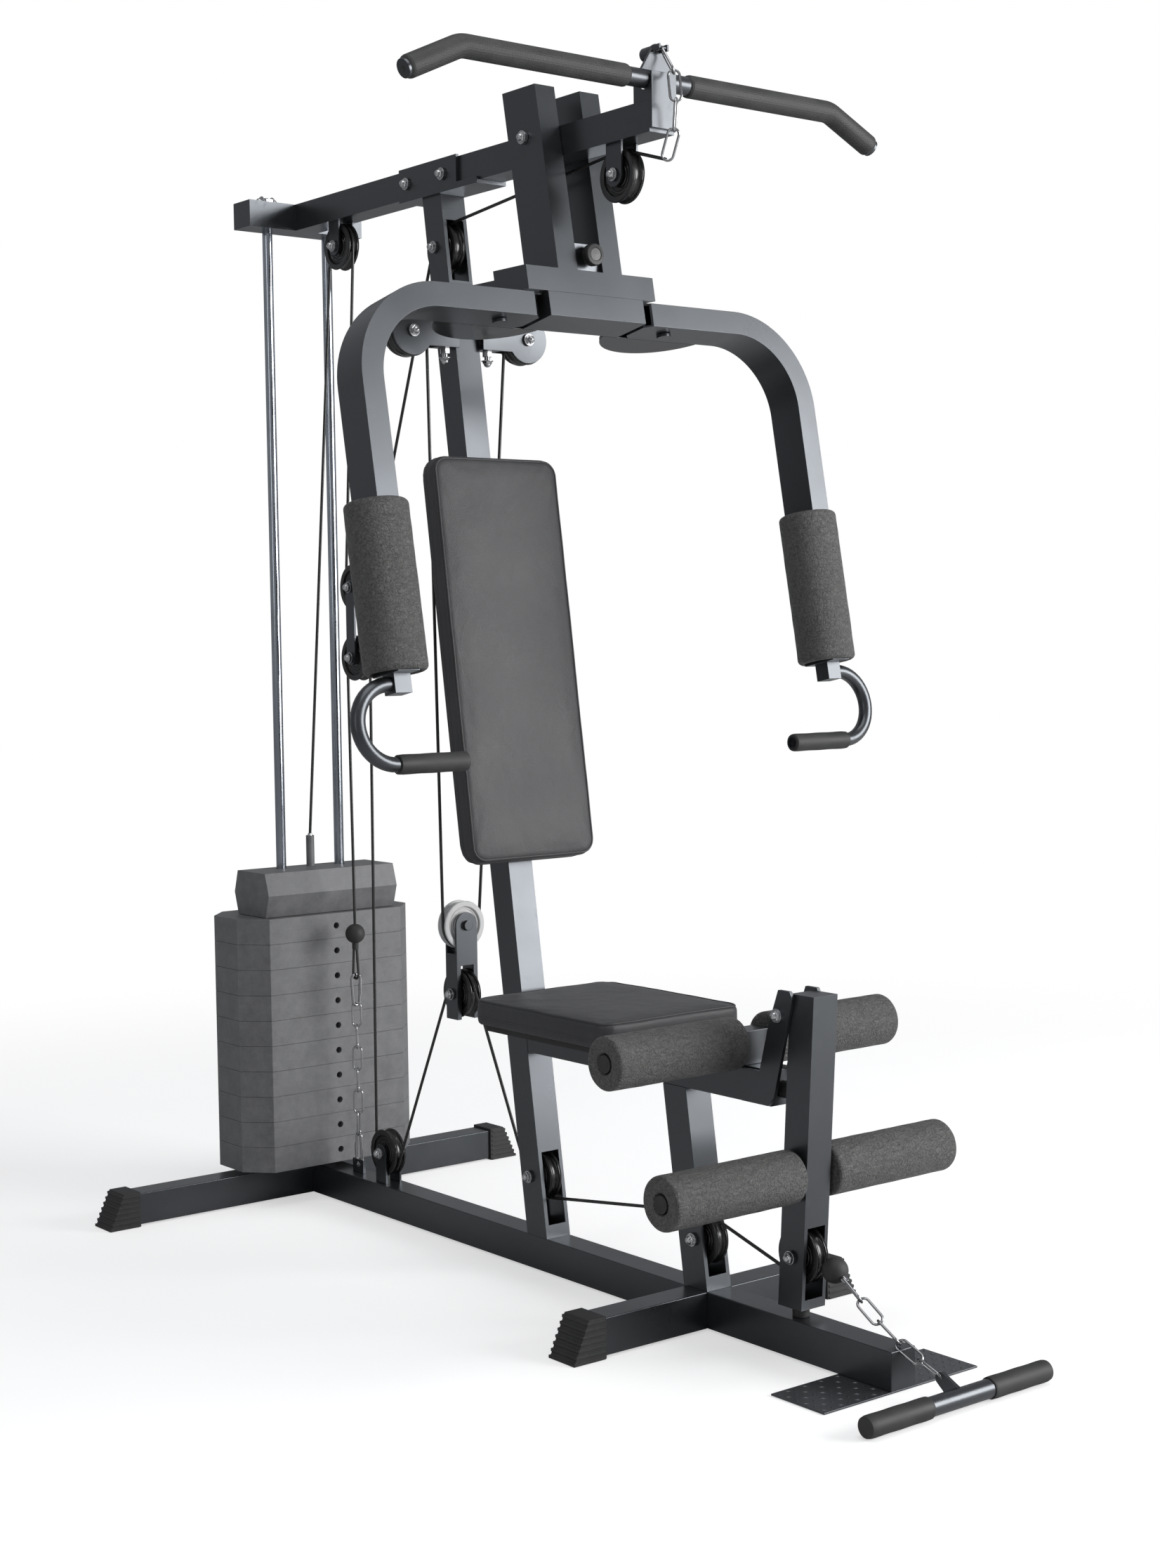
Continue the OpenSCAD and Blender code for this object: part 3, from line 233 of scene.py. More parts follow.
def moulded(name, base, rough, spec=0.5):
    """Injection moulded plastic: slight flow marks, fine texture and scuffs."""
    g = Graph(name)
    flow = g.noise(30.0, 4.0, 0.6)
    fine = g.noise(1100.0, 2.0, 0.5)
    scuff = g.ramp(g.noise(1.0, 5.0, 0.7, g.stretch((420.0, 60.0, 60.0))), 0.62, 0.8, 0, 1)
    g.set(Base_Color=g.mix(g.math("MULTIPLY", scuff, 0.15), rgb(base), rgb(base * 2 + 0.03)),
          Roughness=g.math("ADD", g.ramp(flow, 0.3, 0.7, rough - 0.05, rough + 0.05),
                           g.math("MULTIPLY", scuff, 0.12)),
          Normal=g.bump(fine, 0.00004, 0.5), Specular_IOR_Level=spec)
    return g.mat


def stack_shell(name):
    """Grey moulded shells of the weights: cast mottling and handling marks."""
    g = Graph(name)
    mottle = g.noise(34.0, 8.0, 0.72)
    grit = g.noise(700.0, 3.0, 0.7)
    mark = g.ramp(g.noise(1.0, 6.0, 0.75, g.stretch((30.0, 30.0, 140.0))), 0.55, 0.8, 0, 1)
    base = g.mix(g.ramp(mottle, 0.35, 0.7), rgb(0.125, 0.126, 0.130), rgb(0.185, 0.186, 0.190))
    g.set(Base_Color=g.mix(g.math("MULTIPLY", mark, 0.35), base, rgb(0.25, 0.25, 0.25)),
          Roughness=g.ramp(mottle, 0.3, 0.7, 0.42, 0.56),
          Normal=g.bump(grit, 0.00012, 0.8, g.bump(mottle, 0.0005, 0.5)), Specular_IOR_Level=0.5)
    return g.mat


M = {
    "frame": paint("frame_powder_coat", rgb(0.012, 0.0122, 0.013)),
    "plate": paint("checker_plate_coat", rgb(0.034, 0.034, 0.036), 0.4, 0.00009),
    "pad": leatherette("pad_leatherette"),
    "board": moulded("pad_board_black", 0.02, 0.6),
    "foam": pebbled_foam("pebbled_foam_grey"),
    "rubber": rubber("black_rubber"),
    "grip": rubber("grip_rubber", 0.026, 330.0),
    "chrome": metal("chrome_plate", (0.44, 0.47, 0.52), 0.08),
    "links": metal("chain_steel", (0.42, 0.42, 0.43), 0.12, 0.04, (90.0, 90.0, 90.0)),
    "zinc": metal("zinc_plate", (0.60, 0.60, 0.61), 0.2, 0.1, (90.0, 90.0, 90.0)),
    "wheel": moulded("pulley_nylon_black", 0.016, 0.24, 0.6),
    # painted reflection: this pale base stands for the bright sheen of the key light on the wheel's face
    "wheel_painted_sheen": moulded("pulley_white_painted_sheen", 0.62, 0.35),
    "cam": moulded("cam_gloss_black", 0.012, 0.16, 0.6),
    "knob": moulded("knob_black", 0.02, 0.42),
    "cable": moulded("cable_jacket_black", 0.014, 0.28, 0.6),
    "stack": stack_shell("weight_shell_grey"),
    "head": stack_shell("weight_head_grey"),
}


# ------------------------------------------------------------------ mesh tools
class Mesh:
    """Collects vertices and faces of one piece."""

    def __init__(self):
        self.v, self.f = [], []

    def add(self, verts, faces):
        n = len(self.v)
        self.v += [tuple(map(float, p)) for p in verts]
        self.f += [tuple(i + n for i in face) for face in faces]

    def piece(self, name, mat, body, replaces=(), angle=40.0):
        me = bpy.data.meshes.new(name)
        me.from_pydata(self.v, [], self.f)
        me.update()
        return register(name, me, mat, body, replaces, angle)


def register(name, me, mat, body, replaces=(), angle=40.0):
    """Links a finished mesh as one piece riding a body."""
    o = bpy.data.objects.new(name, me)
    scene.collection.objects.link(o)
    me.materials.append(M[mat])
    b = bmesh.new()
    b.from_mesh(me)
    bmesh.ops.recalc_face_normals(b, faces=b.faces)
    b.to_mesh(me)
    b.free()
    me.shade_smooth()
    me.set_sharp_from_angle(angle=math.radians(angle))
    if body:
        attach(o, body)
    if replaces:
        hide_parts(*replaces)
    return o


def basis(axis):
    """Two unit vectors square to an axis."""
    w = Vector(axis).normalized()
    u = w.orthogonal().normalized()
    return u, w.cross(u), w


def lathe(mesh, profile, centre, axis, seg=64, wobble=None):
    """Turns a closed profile of (radius, height) about an axis."""
    u, v, w = basis(axis)
    c = Vector(centre)
    verts, faces, n = [], [], len(profile)
    for i in range(seg):
        a = 2 * math.pi * i / seg
        d = u * math.cos(a) + v * math.sin(a)
        for r, h in profile:
            k = 1.0 if wobble is None else wobble(a, h, r)
            verts.append(c + d * (r * k) + w * h)
    for i in range(seg):
        j = (i + 1) % seg
        for k in range(n):
            m = (k + 1) % n
            faces.append((i * n + k, i * n + m, j * n + m, j * n + k))
    mesh.add(verts, faces)


def sweep(mesh, points, radius, seg=14, closed=False, caps=True):
    """A round wire along a path, without twist."""
    pts = [Vector(p) for p in points]
    n = len(pts)
    tangents = []
    for i in range(n):
        a = pts[(i - 1) % n] if closed or i else pts[0]
        b = pts[(i + 1) % n] if closed or i < n - 1 else pts[-1]
        tangents.append((b - a).normalized())
    u = tangents[0].orthogonal().normalized()
    verts = []
    for p, t in zip(pts, tangents):
        u = (u - t * u.dot(t)).normalized()
        v = t.cross(u)
        for k in range(seg):
            a = 2 * math.pi * k / seg
            verts.append(p + (u * math.cos(a) + v * math.sin(a)) * radius)
    faces = []
    for i in range(n if closed else n - 1):
        j = (i + 1) % n
        shift = 0
        if closed and j == 0:
            d = [(verts[i * seg] - verts[k]).length for k in range(seg)]
            shift = d.index(min(d))
        for k in range(seg):
            m = (k + 1) % seg
            faces.append((i * seg + k, i * seg + m, j * seg + (m + shift) % seg,
                          j * seg + (k + shift) % seg))
    if caps and not closed:
        faces.append(tuple(range(seg))[::-1])
        faces.append(tuple((n - 1) * seg + k for k in range(seg)))
    mesh.add(verts, faces)


def rounded_profile(r, h0, h1, fillet, r_in=0.0, steps=5):
    """Profile of a solid roller between two heights, with rounded rims and an optional bore."""
    out = [(max(r_in, 1e-5), h0)]
    for k in range(steps + 1):
        a = math.pi / 2 * k / steps
        out.append((r - fillet + fillet * math.sin(a), h0 + fillet - fillet * math.cos(a)))
    for k in range(steps + 1):
        a = math.pi / 2 * k / steps
        out.append((r - fillet + fillet * math.cos(a), h1 - fillet + fillet * math.sin(a)))
    out.append((max(r_in, 1e-5), h1))
    return out


def ball(mesh, centre, r, seg=24, rings=16, axis=(0, 0, 1)):
    profile = [(max(1e-5, r * math.sin(math.pi * k / rings)), -r * math.cos(math.pi * k / rings))
               for k in range(rings + 1)]
    lathe(mesh, profile, centre, axis, seg)


def hexagon(mesh, centre, axis, across, h, chamfer=0.0012):
    """Hexagonal head standing on centre, growing along the axis."""
    u, v, w = basis(axis)
    r = across / math.sqrt(3)
    c = Vector(centre)
    rows = [(1.0, 0.0), (1.0, h - chamfer), (1.0 - chamfer / r * 1.4, h)]
    verts = [c + (u * math.cos(math.pi / 3 * k) + v * math.sin(math.pi / 3 * k)) * (r * s) + w * z
             for s, z in rows for k in range(6)]
    faces = [(i * 6 + k, i * 6 + (k + 1) % 6, (i + 1) * 6 + (k + 1) % 6, (i + 1) * 6 + k)
             for i in range(2) for k in range(6)]
    faces += [tuple(range(6))[::-1], tuple(range(12, 18))]
    mesh.add(verts, faces)


def acorn(mesh, centre, axis, size=1.0):
    """Washer, hexagon and dome of a cap nut, standing on centre."""
    w = Vector(axis).normalized()
    c = Vector(centre)
    lathe(mesh, rounded_profile(0.0115 * size, 0, 0.0014, 0.0004, 0.002), c, w, 32)
    hexagon(mesh, c + w * 0.0014, w, 0.0165 * size, 0.005 * size)
    dome = [(1e-5, 0.0)] + [(0.0070 * size * math.cos(math.pi / 2 * k / 8),
                             0.0066 * size * math.sin(math.pi / 2 * k / 8)) for k in range(8)]
    dome.append((1e-5, 0.0066 * size))
    lathe(mesh, dome, c + w * (0.0060 * size), w, 28)


def slab(mesh, outline, shift):
    """Plate between an outline and its copy moved by shift."""
    n = len(outline)
    mesh.add([Vector(p) for p in outline] + [Vector(p) + shift for p in outline],
             [tuple(range(n)), tuple(range(2 * n - 1, n - 1, -1))]
             + [(i, (i + 1) % n, (i + 1) % n + n, i + n) for i in range(n)])


def loose_parts(node):
    """Lists of points, one for each separate solid of a CAD node."""
    me = frame["nodes"][node].data
    co = np.array([v.co for v in me.vertices])
    keys, ids = {}, []
    for p in np.round(co, 6):
        ids.append(keys.setdefault(tuple(p), len(keys)))
    parent = list(range(len(keys)))

    def find(i):
        while parent[i] != i:
            parent[i] = parent[parent[i]]
            i = parent[i]
        return i

    for e in me.edges:
        a, b = find(ids[e.vertices[0]]), find(ids[e.vertices[1]])
        if a != b:
            parent[a] = b
    groups = {}
    for i, p in zip(ids, co):
        groups.setdefault(find(i), []).append(p)
    return [np.array(g) for g in groups.values()]


# ------------------------------------------------------------------ tubes and plates from the CAD
def dress(node, mat, bevel, segments):
    """A CAD node with its own finish and slightly rounded edges."""
    o = frame["nodes"][node]
    o.data.materials.clear()
    o.data.materials.append(M[mat])
    weld = o.modifiers.new("weld", "WELD")
    weld.merge_threshold = 0.00002
    flat = o.modifiers.new("flat", "DECIMATE")
    flat.decimate_type = "DISSOLVE"
    flat.angle_limit = math.radians(1.0)
    edge = o.modifiers.new("edge", "BEVEL")
    edge.width, edge.segments = bevel, segments
    edge.limit_method = "ANGLE"
    edge.angle_limit = math.radians(38)
    edge.use_clamp_overlap = True
    edge.harden_normals = False
    if mat in ("stack", "head"):
        o.data.shade_flat()
    else:
        o.data.shade_smooth()
        o.modifiers.new("normals", "WEIGHTED_NORMAL").keep_sharp = True


for mat, bevel, segments, nodes in (
        ("frame", 0.0026, 3, "base_beam cross_beams main_upright seat_post seat_boom boom_ears top_boom_rear "
         "top_boom_front boom_sleeve stop_tube swing_frame arm_bracket arm_left arm_right leg_tube"),
        ("frame", 0.0009, 2, "bar_holder boom_hangers pulley_wings base_brackets rear_block front_block "
         "upper_roller_bar"),
        ("plate", 0.0009, 2, "foot_plate"), ("rubber", 0.0011, 2, "foot_caps"),
        ("rubber", 0.0012, 2, "rubber_stops"), ("board", 0.0015, 2, "pad_boards"),
        ("chrome", 0.0008, 2, "guide_rods"), ("zinc", 0.0006, 2, "frame_bolts"),
        ("stack", 0.0012, 1, "weight_plates"), ("head", 0.0014, 2, "stack_head"),
        ("cam", 0.0010, 2, "cam_left cam_right")):
    for node in nodes.split():
        dress(node, mat, bevel, segments)


# ------------------------------------------------------------------ cable pulleys
GROOVE = 0.0068     # depth of the rim groove, m
WIRE = 0.00275      # radius of the jacketed cable, m


def pulley(node, mat):
    """Grooved wheel with a hub, three raised rings on each face and a rolled rim."""
    j = joints[node + "_spin"]
    lo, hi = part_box(node)
    axis = Vector(j["axis"])
    size = hi - lo
    r = max(size) / 2
    half = min(size) / 2
    k = (r - 0.010) / 0.033
    w = half
    side = [(0.0054, w), (0.0110, w), (0.0122, w - 0.0012), (0.0126, w - 0.0042),
            (0.0126 + 0.003 * k, w - 0.0050)]
    for i in range(3):
        a = 0.0165 + 0.0056 * i * k
        side += [(a, w - 0.0050), (a + 0.0009, w - 0.0038),
                 (a + 0.0023, w - 0.0038), (a + 0.0032, w - 0.0050)]
    side += [(r - 0.0112, w - 0.0048), (r - 0.0100, w - 0.0010), (r - 0.0090, w - 0.0002),
             (r - 0.0018, w - 0.0001), (r - 0.0004, w - 0.0010), (r, w - 0.0022),
             (r - 0.0010, w - 0.0034)]
    groove = []
    for i in range(7):
        a = math.pi / 2 * i / 6
        groove.append((r - GROOVE + 0.0058 * (1 - math.sin(a)), (w - 0.0042) * math.cos(a)))
    upper = side + groove
    lower = [(p, -h) for p, h in reversed(upper[:-1])]
    m = Mesh()
    lathe(m, upper + lower, j["pos_m"], axis, 72)
    m.piece(node + "_wheel", mat, node, (node,), 30)


for name in joints:
    if name.startswith("wheel_"):
        node = name[:-len("_spin")]
        # the front block's upper wheel gets the pale material, a painted sheen
        pulley(node, "wheel_painted_sheen" if node == "wheel_front_upper" else "wheel")


# ------------------------------------------------------------------ nuts and bolt ends
def ends_of(points):
    """End points, axis and length of a bolt along its longest side."""
    lo, hi = points.min(0), points.max(0)
    size = hi - lo
    k = int(np.argmax(size))
    mid = (lo + hi) / 2
    a, b = mid.copy(), mid.copy()
    a[k], b[k] = lo[k], hi[k]
    axis = np.zeros(3)
    axis[k] = 1.0
    return a, b, axis, size[k]


m = Mesh()
for part in loose_parts("frame_bolts"):
    a, b, axis, length = ends_of(part)
    if length > 0.02:
        acorn(m, Vector(a) + Vector(axis) * 0.0035, -Vector(axis), 0.92)
        acorn(m, Vector(b) - Vector(axis) * 0.0035, Vector(axis), 0.92)
m.piece("frame_cap_nuts", "zinc", "frame", (), 30)

for node, body, wheels in (("rear_block", "block_rear", ("wheel_rear_upper_spin", "wheel_rear_lower_spin")),
                           ("front_block", "block_front", ("wheel_front_lower_spin",)),
                           ("leg_tube", "leg", ("wheel_leg_spin",))):
    reach = 0.033 if body == "leg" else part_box(node)[1].x
    m = Mesh()
    for w in wheels:
        p = Vector(joints[w]["pos_m"])
        for s in (-1, 1):
            acorn(m, Vector((s * (reach - 0.004), p.y, p.z)), (s, 0, 0), 0.9)
    m.piece(node + "_cap_nuts", "zinc", body, (), 30)


# ------------------------------------------------------------------ lock knob
lo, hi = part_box("lock_knob")
centre = (lo + hi) / 2
r = (hi.x - lo.x) / 2
depth = 0.015
m = Mesh()


def knurl(a, h, radius):
    return 1.0 - (0.035 * (0.5 + 0.5 * math.cos(a * 26)) if radius > r * 0.9 else 0.0)


lathe(m, [(1e-5, -0.0008), (r * 0.55, -0.0002), (r * 0.62, -0.0012), (r * 0.9, 0.0), (r, 0.0022),
          (r, depth - 0.0022), (r * 0.93, depth), (1e-5, depth)],
      (centre.x, lo.y, centre.z), (0, 1, 0), 156, knurl)
lathe(m, rounded_profile(0.005, depth - 0.001, hi.y - lo.y, 0.001), (centre.x, lo.y, centre.z), (0, 1, 0), 32)
m.piece("lock_knob_knurled", "knob", "lock", ("lock_knob",), 35)


# ------------------------------------------------------------------ foam rollers
def foam_wobble(seed):
    """Slight dents that keep a foam sleeve from being a true cylinder."""
    def f(a, h, radius):
        p = Vector((math.cos(a) * 0.05, math.sin(a) * 0.05, h)) * 42.0
        return 1.0 + 0.010 * noise.noise(p + Vector((seed, 0, 0))) if radius > 0.02 else 1.0
    return f


def roller_profile(r, h0, h1, bore, fillet=0.006, rows=70):
    """Foam sleeve: rounded rims, a sunken ring round the tube at each end."""
    ring = rounded_profile(r, h0, h1, fillet)
    left, right = ring[1:7], ring[7:13]
    wall = [(r, left[-1][1] + (right[0][1] - left[-1][1]) * (i + 1) / (rows + 1)) for i in range(rows)]
    face0 = [(bore, h0 + 0.006), (bore + 0.0035, h0 + 0.001)]
    face1 = [(bore + 0.0035, h1 - 0.001), (bore, h1 - 0.006)]
    return face0 + left + wall + right + face1


def rollers(node, body):
    """The two foam sleeves of a leg roller, with the bar between them and its end plugs."""
    lo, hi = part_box(node)
    c = (lo + hi) / 2
    r = (hi.z - lo.z) / 2
    inner = 0.032
    foam, plug = Mesh(), Mesh()
    for s in (-1, 1):
        h0, h1 = sorted((s * inner, s * hi.x))
        lathe(foam, roller_profile(r - 0.0006, h0 + 0.0006, h1 - 0.0006, 0.0135), (0, c.y, c.z),
              (1, 0, 0), 96, foam_wobble(s * 3.1 + c.z))
        out = s * (hi.x - 0.0055)
        cup = [(1e-5, 0), (0.0132, 0), (0.0132, 0.004), (0.0115, 0.0052), (0.0090, 0.0030), (1e-5, 0.0024)]
        lathe(plug, cup, (out, c.y, c.z), (s, 0, 0), 40)
        sweep(plug, [(s * (inner - 0.002), c.y, c.z), (out, c.y, c.z)], 0.0128, 32)
    foam.piece(node + "_foam", "foam", body, (node,), 50)
    plug.piece(node + "_plugs", "rubber", body, (), 40)


rollers("upper_rollers", "upper_foam")
rollers("lower_rollers", "lower_foam")


# ------------------------------------------------------------------ arms: foams and hooked handles
press = Vector(joints["press_swing"]["pos_m"])
down = Vector(joints["arm_right_swing"]["axis"]).normalized()
lean = Matrix((Vector((1, 0, 0)), Vector((0, -down.z, down.y)), -down)).transposed()


def hang(x, y, z):
    """A point of the leaning arm frame in the row frame."""
    return press + lean @ Vector((x, y, z))


def local_points(node):
    inv = lean.transposed()
    return np.array([inv @ (v.co - press) for v in frame["nodes"][node].data.vertices])


def local_box(node):
    co = local_points(node)
    return Vector(co.min(0)), Vector(co.max(0))


for side, s in (("right", 1), ("left", -1)):
    body = "arm_r" if s > 0 else "arm_l"
    lo, hi = local_box("foam_" + side)
    c = (lo + hi) / 2
    r = (hi.x - lo.x) / 2
    m = Mesh()
    lathe(m, roller_profile(r - 0.0006, 0.0006, hi.z - lo.z - 0.0006, 0.036, 0.008),
          hang(c.x, c.y, lo.z), -down, 96, foam_wobble(7.7 * s))
    m.piece("arm_foam_" + side, "foam", body, ("foam_" + side,), 50)

    lo, hi = local_box("handle_" + side)
    tube, grip_r = 0.0115, (hi.y - lo.y) / 2
    y = (lo.y + hi.y) / 2
    top = hi.z - tube
    bend = (top - lo.z - grip_r) / 2
    far = hi.x if s > 0 else lo.x
    near = lo.x if s > 0 else hi.x
    mid = far - s * (bend + tube)
    co = local_points("handle_" + side)
    start = s * (np.abs(co[co[:, 2] > top][:, 0]).min() - 0.002)
    path = [hang(x, y, top) for x in np.linspace(start, mid, 6)[:-1]]
    path += [hang(mid + s * bend * math.sin(a), y, top - bend + bend * math.cos(a))
             for a in np.linspace(0, math.pi, 25)]
    path += [hang(x, y, top - 2 * bend) for x in np.linspace(mid, near, 6)[1:]]
    m = Mesh()
    sweep(m, path, tube, 28)
    m.piece("hook_tube_" + side, "frame", body, ("handle_" + side,), 40)
    m = Mesh()
    length = abs(mid - near)
    sleeve = [(tube * 0.99, 0.0), (grip_r - 0.002, 0.0), (grip_r - 0.0004, 0.0012)]
    sleeve += [(grip_r - 0.0002 * math.sin(5 * k), length * k / 12) for k in range(1, 12)]
    sleeve += [(grip_r, length - 0.005), (grip_r - 0.0006, length - 0.0022),
               (grip_r - 0.003, length - 0.0004), (grip_r - 0.006, length), (1e-5, length), (1e-5, 0.0)]
    lathe(m, sleeve, hang(mid, y, top - 2 * bend), -(lean @ Vector((s, 0, 0))), 48)
    m.piece("hook_grip_" + side, "rubber", body, (), 30)


# ------------------------------------------------------------------ pulldown bar and row bar
def along(points, count):
    """Points spread evenly along a polyline."""
    pts = [Vector(p) for p in points]
    seg = [(b - a).length for a, b in zip(pts, pts[1:])]
    total = sum(seg)
    out = []
    for k in range(count + 1):
        d = total * k / count
        i = 0
        while i < len(seg) - 1 and d > seg[i]:
            d -= seg[i]
            i += 1
        out.append(pts[i].lerp(pts[i + 1], min(1.0, d / seg[i])))
    return out


def round_ended(mesh, path, r, seg):
    """A sleeve with softly rounded ends."""
    dome = 0.6
    sweep(mesh, path, r, seg, caps=False)
    for tip, before in ((path[0], path[1]), (path[-1], path[-2])):
        d = (Vector(tip) - Vector(before)).normalized()
        cap = [(r * math.cos(math.pi / 2 * k / 6), r * dome * math.sin(math.pi / 2 * k / 6)) for k in range(6)]
        lathe(mesh, [(1e-5, 0.0)] + cap + [(1e-5, r * dome)], Vector(tip) + d * -0.0001, d, seg)


def bend_path(points, r, steps=9):
    """Polyline with its corners rounded to radius r."""
    pts = [Vector(p) for p in points]
    out = [pts[0]]
    for a, b, c in zip(pts, pts[1:], pts[2:]):
        u, v = (a - b).normalized(), (c - b).normalized()
        half = u.angle(v) / 2
        cut = r / math.tan(half)
        p, q = b + u * cut, b + v * cut
        centre = b + (u + v).normalized() * (r / math.sin(half))
        for k in range(steps + 1):
            t = (p - centre).slerp(q - centre, k / steps)
            out.append(centre + t.normalized() * r)
    return out + [pts[-1]]


part = np.array([v.co for v in frame["nodes"]["lat_bar"].data.vertices])
lo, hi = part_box("lat_bar")
grip_r, core_r, straight, drop, grip_in, corner_r = 0.018, 0.0145, 0.372, 0.047, 0.062, 0.045
low_end = part[part[:, 0] > hi.x - 0.012]
bar_y = (low_end[:, 1].min() + low_end[:, 1].max()) / 2
tip_z = lo.z + grip_r * math.cos(math.atan2(drop, hi.x - straight))
bar_z = tip_z + drop
metal_m, grip_m = Mesh(), Mesh()
for s in (-1, 1):
    tip = Vector((s * (hi.x - grip_r * 0.55), bar_y, tip_z))
    corner = Vector((s * straight, bar_y, bar_z))
    path = bend_path([Vector((0, bar_y, bar_z)), corner, tip], corner_r)
    sweep(metal_m, path, core_r, 32)
    inner = [Vector((s * (grip_in + 0.004), bar_y, bar_z))] + path[1:-1]
    inner.append(tip - (tip - corner).normalized() * grip_r * 0.55)
    round_ended(grip_m, inner, grip_r - 0.0004, 40)
metal_m.piece("pulldown_bar_tube", "frame", "lat", ("lat_bar",), 40)
grip_m.piece("pulldown_bar_grips", "grip", "lat", (), 40)

m = Mesh()
tab_top = hi.z
t = 0.006
half_tab = [(0.034, bar_z + 0.010), (0.0115, tab_top - 0.010), (0.0085, tab_top - 0.0035), (0.0035, tab_top)]
outline = [(-x, z) for x, z in half_tab[:1]] + half_tab + [(-x, z) for x, z in half_tab[:0:-1]]
slab(m, [(x, bar_y - t / 2, z) for x, z in outline], Vector((0, t, 0)))
boss = part[part[:, 1] > bar_y + grip_r + 0.002]
boss_z = (boss[:, 2].min() + boss[:, 2].max()) / 2
lathe(m, rounded_profile(0.011, 0.0, hi.y - bar_y, 0.0025), (0, bar_y, boss_z), (0, 1, 0), 36)
acorn(m, (0, hi.y - 0.006, boss_z), (0, 1, 0), 0.8)
pin = part[part[:, 1] < bar_y - grip_r * 0.2]
pin = pin[pin[:, 2] > bar_z + grip_r + 0.01]
pin_y, pin_z = (pin[:, 1].min() + 0.004), (pin[:, 2].min() + pin[:, 2].max()) / 2
sweep(m, [(-0.0105, pin_y, pin_z), (0.0105, pin_y, pin_z)], 0.0028, 18)
for s in (-1, 1):
    x0, x1 = (0.006, 0.010) if s > 0 else (-0.010, -0.006)
    y0, y1, z0, z1 = pin_y - 0.004, bar_y, pin_z - 0.005, pin_z + 0.005
    slab(m, [(x0, y0, z0), (x1, y0, z0), (x1, y1, z0), (x0, y1, z0)], Vector((0, 0, z1 - z0)))
o = m.piece("pulldown_bar_tab", "frame", "lat", (), 35)
edge = o.modifiers.new("edge", "BEVEL")
edge.width, edge.segments, edge.limit_method = 0.0008, 2, "ANGLE"

lo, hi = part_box("row_bar")
row_r, row_in = 0.016, 0.062
row_y, row_z = lo.y + row_r, lo.z + row_r
bar_m, grip_m = Mesh(), Mesh()
sweep(bar_m, [(-row_in - 0.02, row_y, row_z), (row_in + 0.02, row_y, row_z)], 0.0138, 36)
for s in (-1, 1):
    x0, x1 = row_in, hi.x - 0.004
    sleeve = [(0.0137, x0), (row_r - 0.0009, x0), (row_r - 0.0002, x0 + 0.0012), (row_r, x0 + 0.004)]
    sleeve += [(row_r - 0.0002 * math.sin(5 * k), x0 + (x1 - x0) * k / 12) for k in range(1, 12)]
    sleeve += [(row_r, x1 - 0.003), (row_r - 0.0010, x1 + 0.0016), (row_r - 0.004, x1 + 0.0036),
               (1e-5, x1 + 0.004), (1e-5, x0)]
    lathe(grip_m, sleeve, (0, row_y, row_z), (s, 0, 0), 44)
bar_m.piece("row_bar_tube", "frame", "row_grip", ("row_bar",), 40)
grip_m.piece("row_bar_grips", "rubber", "row_grip", (), 30)
m = Mesh()
eye = Vector(joints["row_tilt"]["pos_m"])
d = (eye - Vector((0, row_y, row_z))).normalized()
q = Vector((1, 0, 0)).cross(d)
base = Vector((0, row_y, row_z)) + d * 0.008
rim = [base - q * 0.013, base + q * 0.013] + [eye + (d * math.cos(a) + q * math.sin(a)) * 0.0095
                                            for a in np.linspace(math.pi / 2, -math.pi / 2, 11)]
eye_t = 0.006
slab(m, [p - Vector((eye_t / 2, 0, 0)) for p in rim], Vector((eye_t, 0, 0)))
m.piece("row_bar_eye", "frame", "row_grip", (), 35)


# ------------------------------------------------------------------ chains
LINK = (0.043, 0.0088, 0.0020)       # pitch, half width and wire radius of the bar chains, m
SLIM_LINK = (0.040, 0.0082, 0.0018)  # the same for the hanging anchor chain, m


def link(mesh, centre, d, flat, length, half, wire, pear=1.0):
    """One bent-wire link: d runs along it, flat is square to its plane."""
    d = Vector(d).normalized()
    u = Vector(flat).cross(d).normalized()
    straight = length / 2 - half
    pts = []
    for k in range(13):
        a = math.pi * k / 12
        pts.append(d * (straight + half * math.sin(a)) + u * (half * math.cos(a)))
    for k in range(13):
        a = math.pi * k / 12
        pts.append(d * (-straight - half * pear * math.sin(a)) - u * (half * pear * math.cos(a)))
    sweep(mesh, [Vector(centre) + p for p in pts], wire, 12, closed=True)


def chain(mesh, points, pitch, half, wire, turned=0):
    """Links along a polyline, each turned against the last."""
    total = sum((Vector(b) - Vector(a)).length for a, b in zip(points, points[1:]))
    count = max(1, round(total / pitch))
    at = along(points, count)
    for k, (a, b) in enumerate(zip(at, at[1:])):
        d = b - a
        side = Vector((1, 0, 0))
        other = side.cross(d).normalized()
        turn = math.radians((47 if (k + turned) % 2 else -43) + 7 * math.sin(2.3 * k))
        flat = side * math.cos(turn) + other * math.sin(turn)
        flat = flat - d.normalized() * flat.dot(d.normalized())
        link(mesh, (a + b) / 2, d, flat, d.length + 2 * wire * 1.05, half, wire)


def snap_hook(mesh, a, b, wire=0.0030, flat=(1, 0, 0)):
    """Spring hook between two points, with its gate and nose."""
    a, b = Vector(a), Vector(b)
    d = b - a
    link(mesh, (a + b) / 2, d, flat, d.length + 2 * wire, 0.0098, wire, 0.72)
    u = Vector(flat).cross(d.normalized()).normalized()
    mid = (a + b) / 2 + u * 0.0092
    sweep(mesh, [mid - d * 0.18, mid + d * 0.20], wire * 1.25, 14)


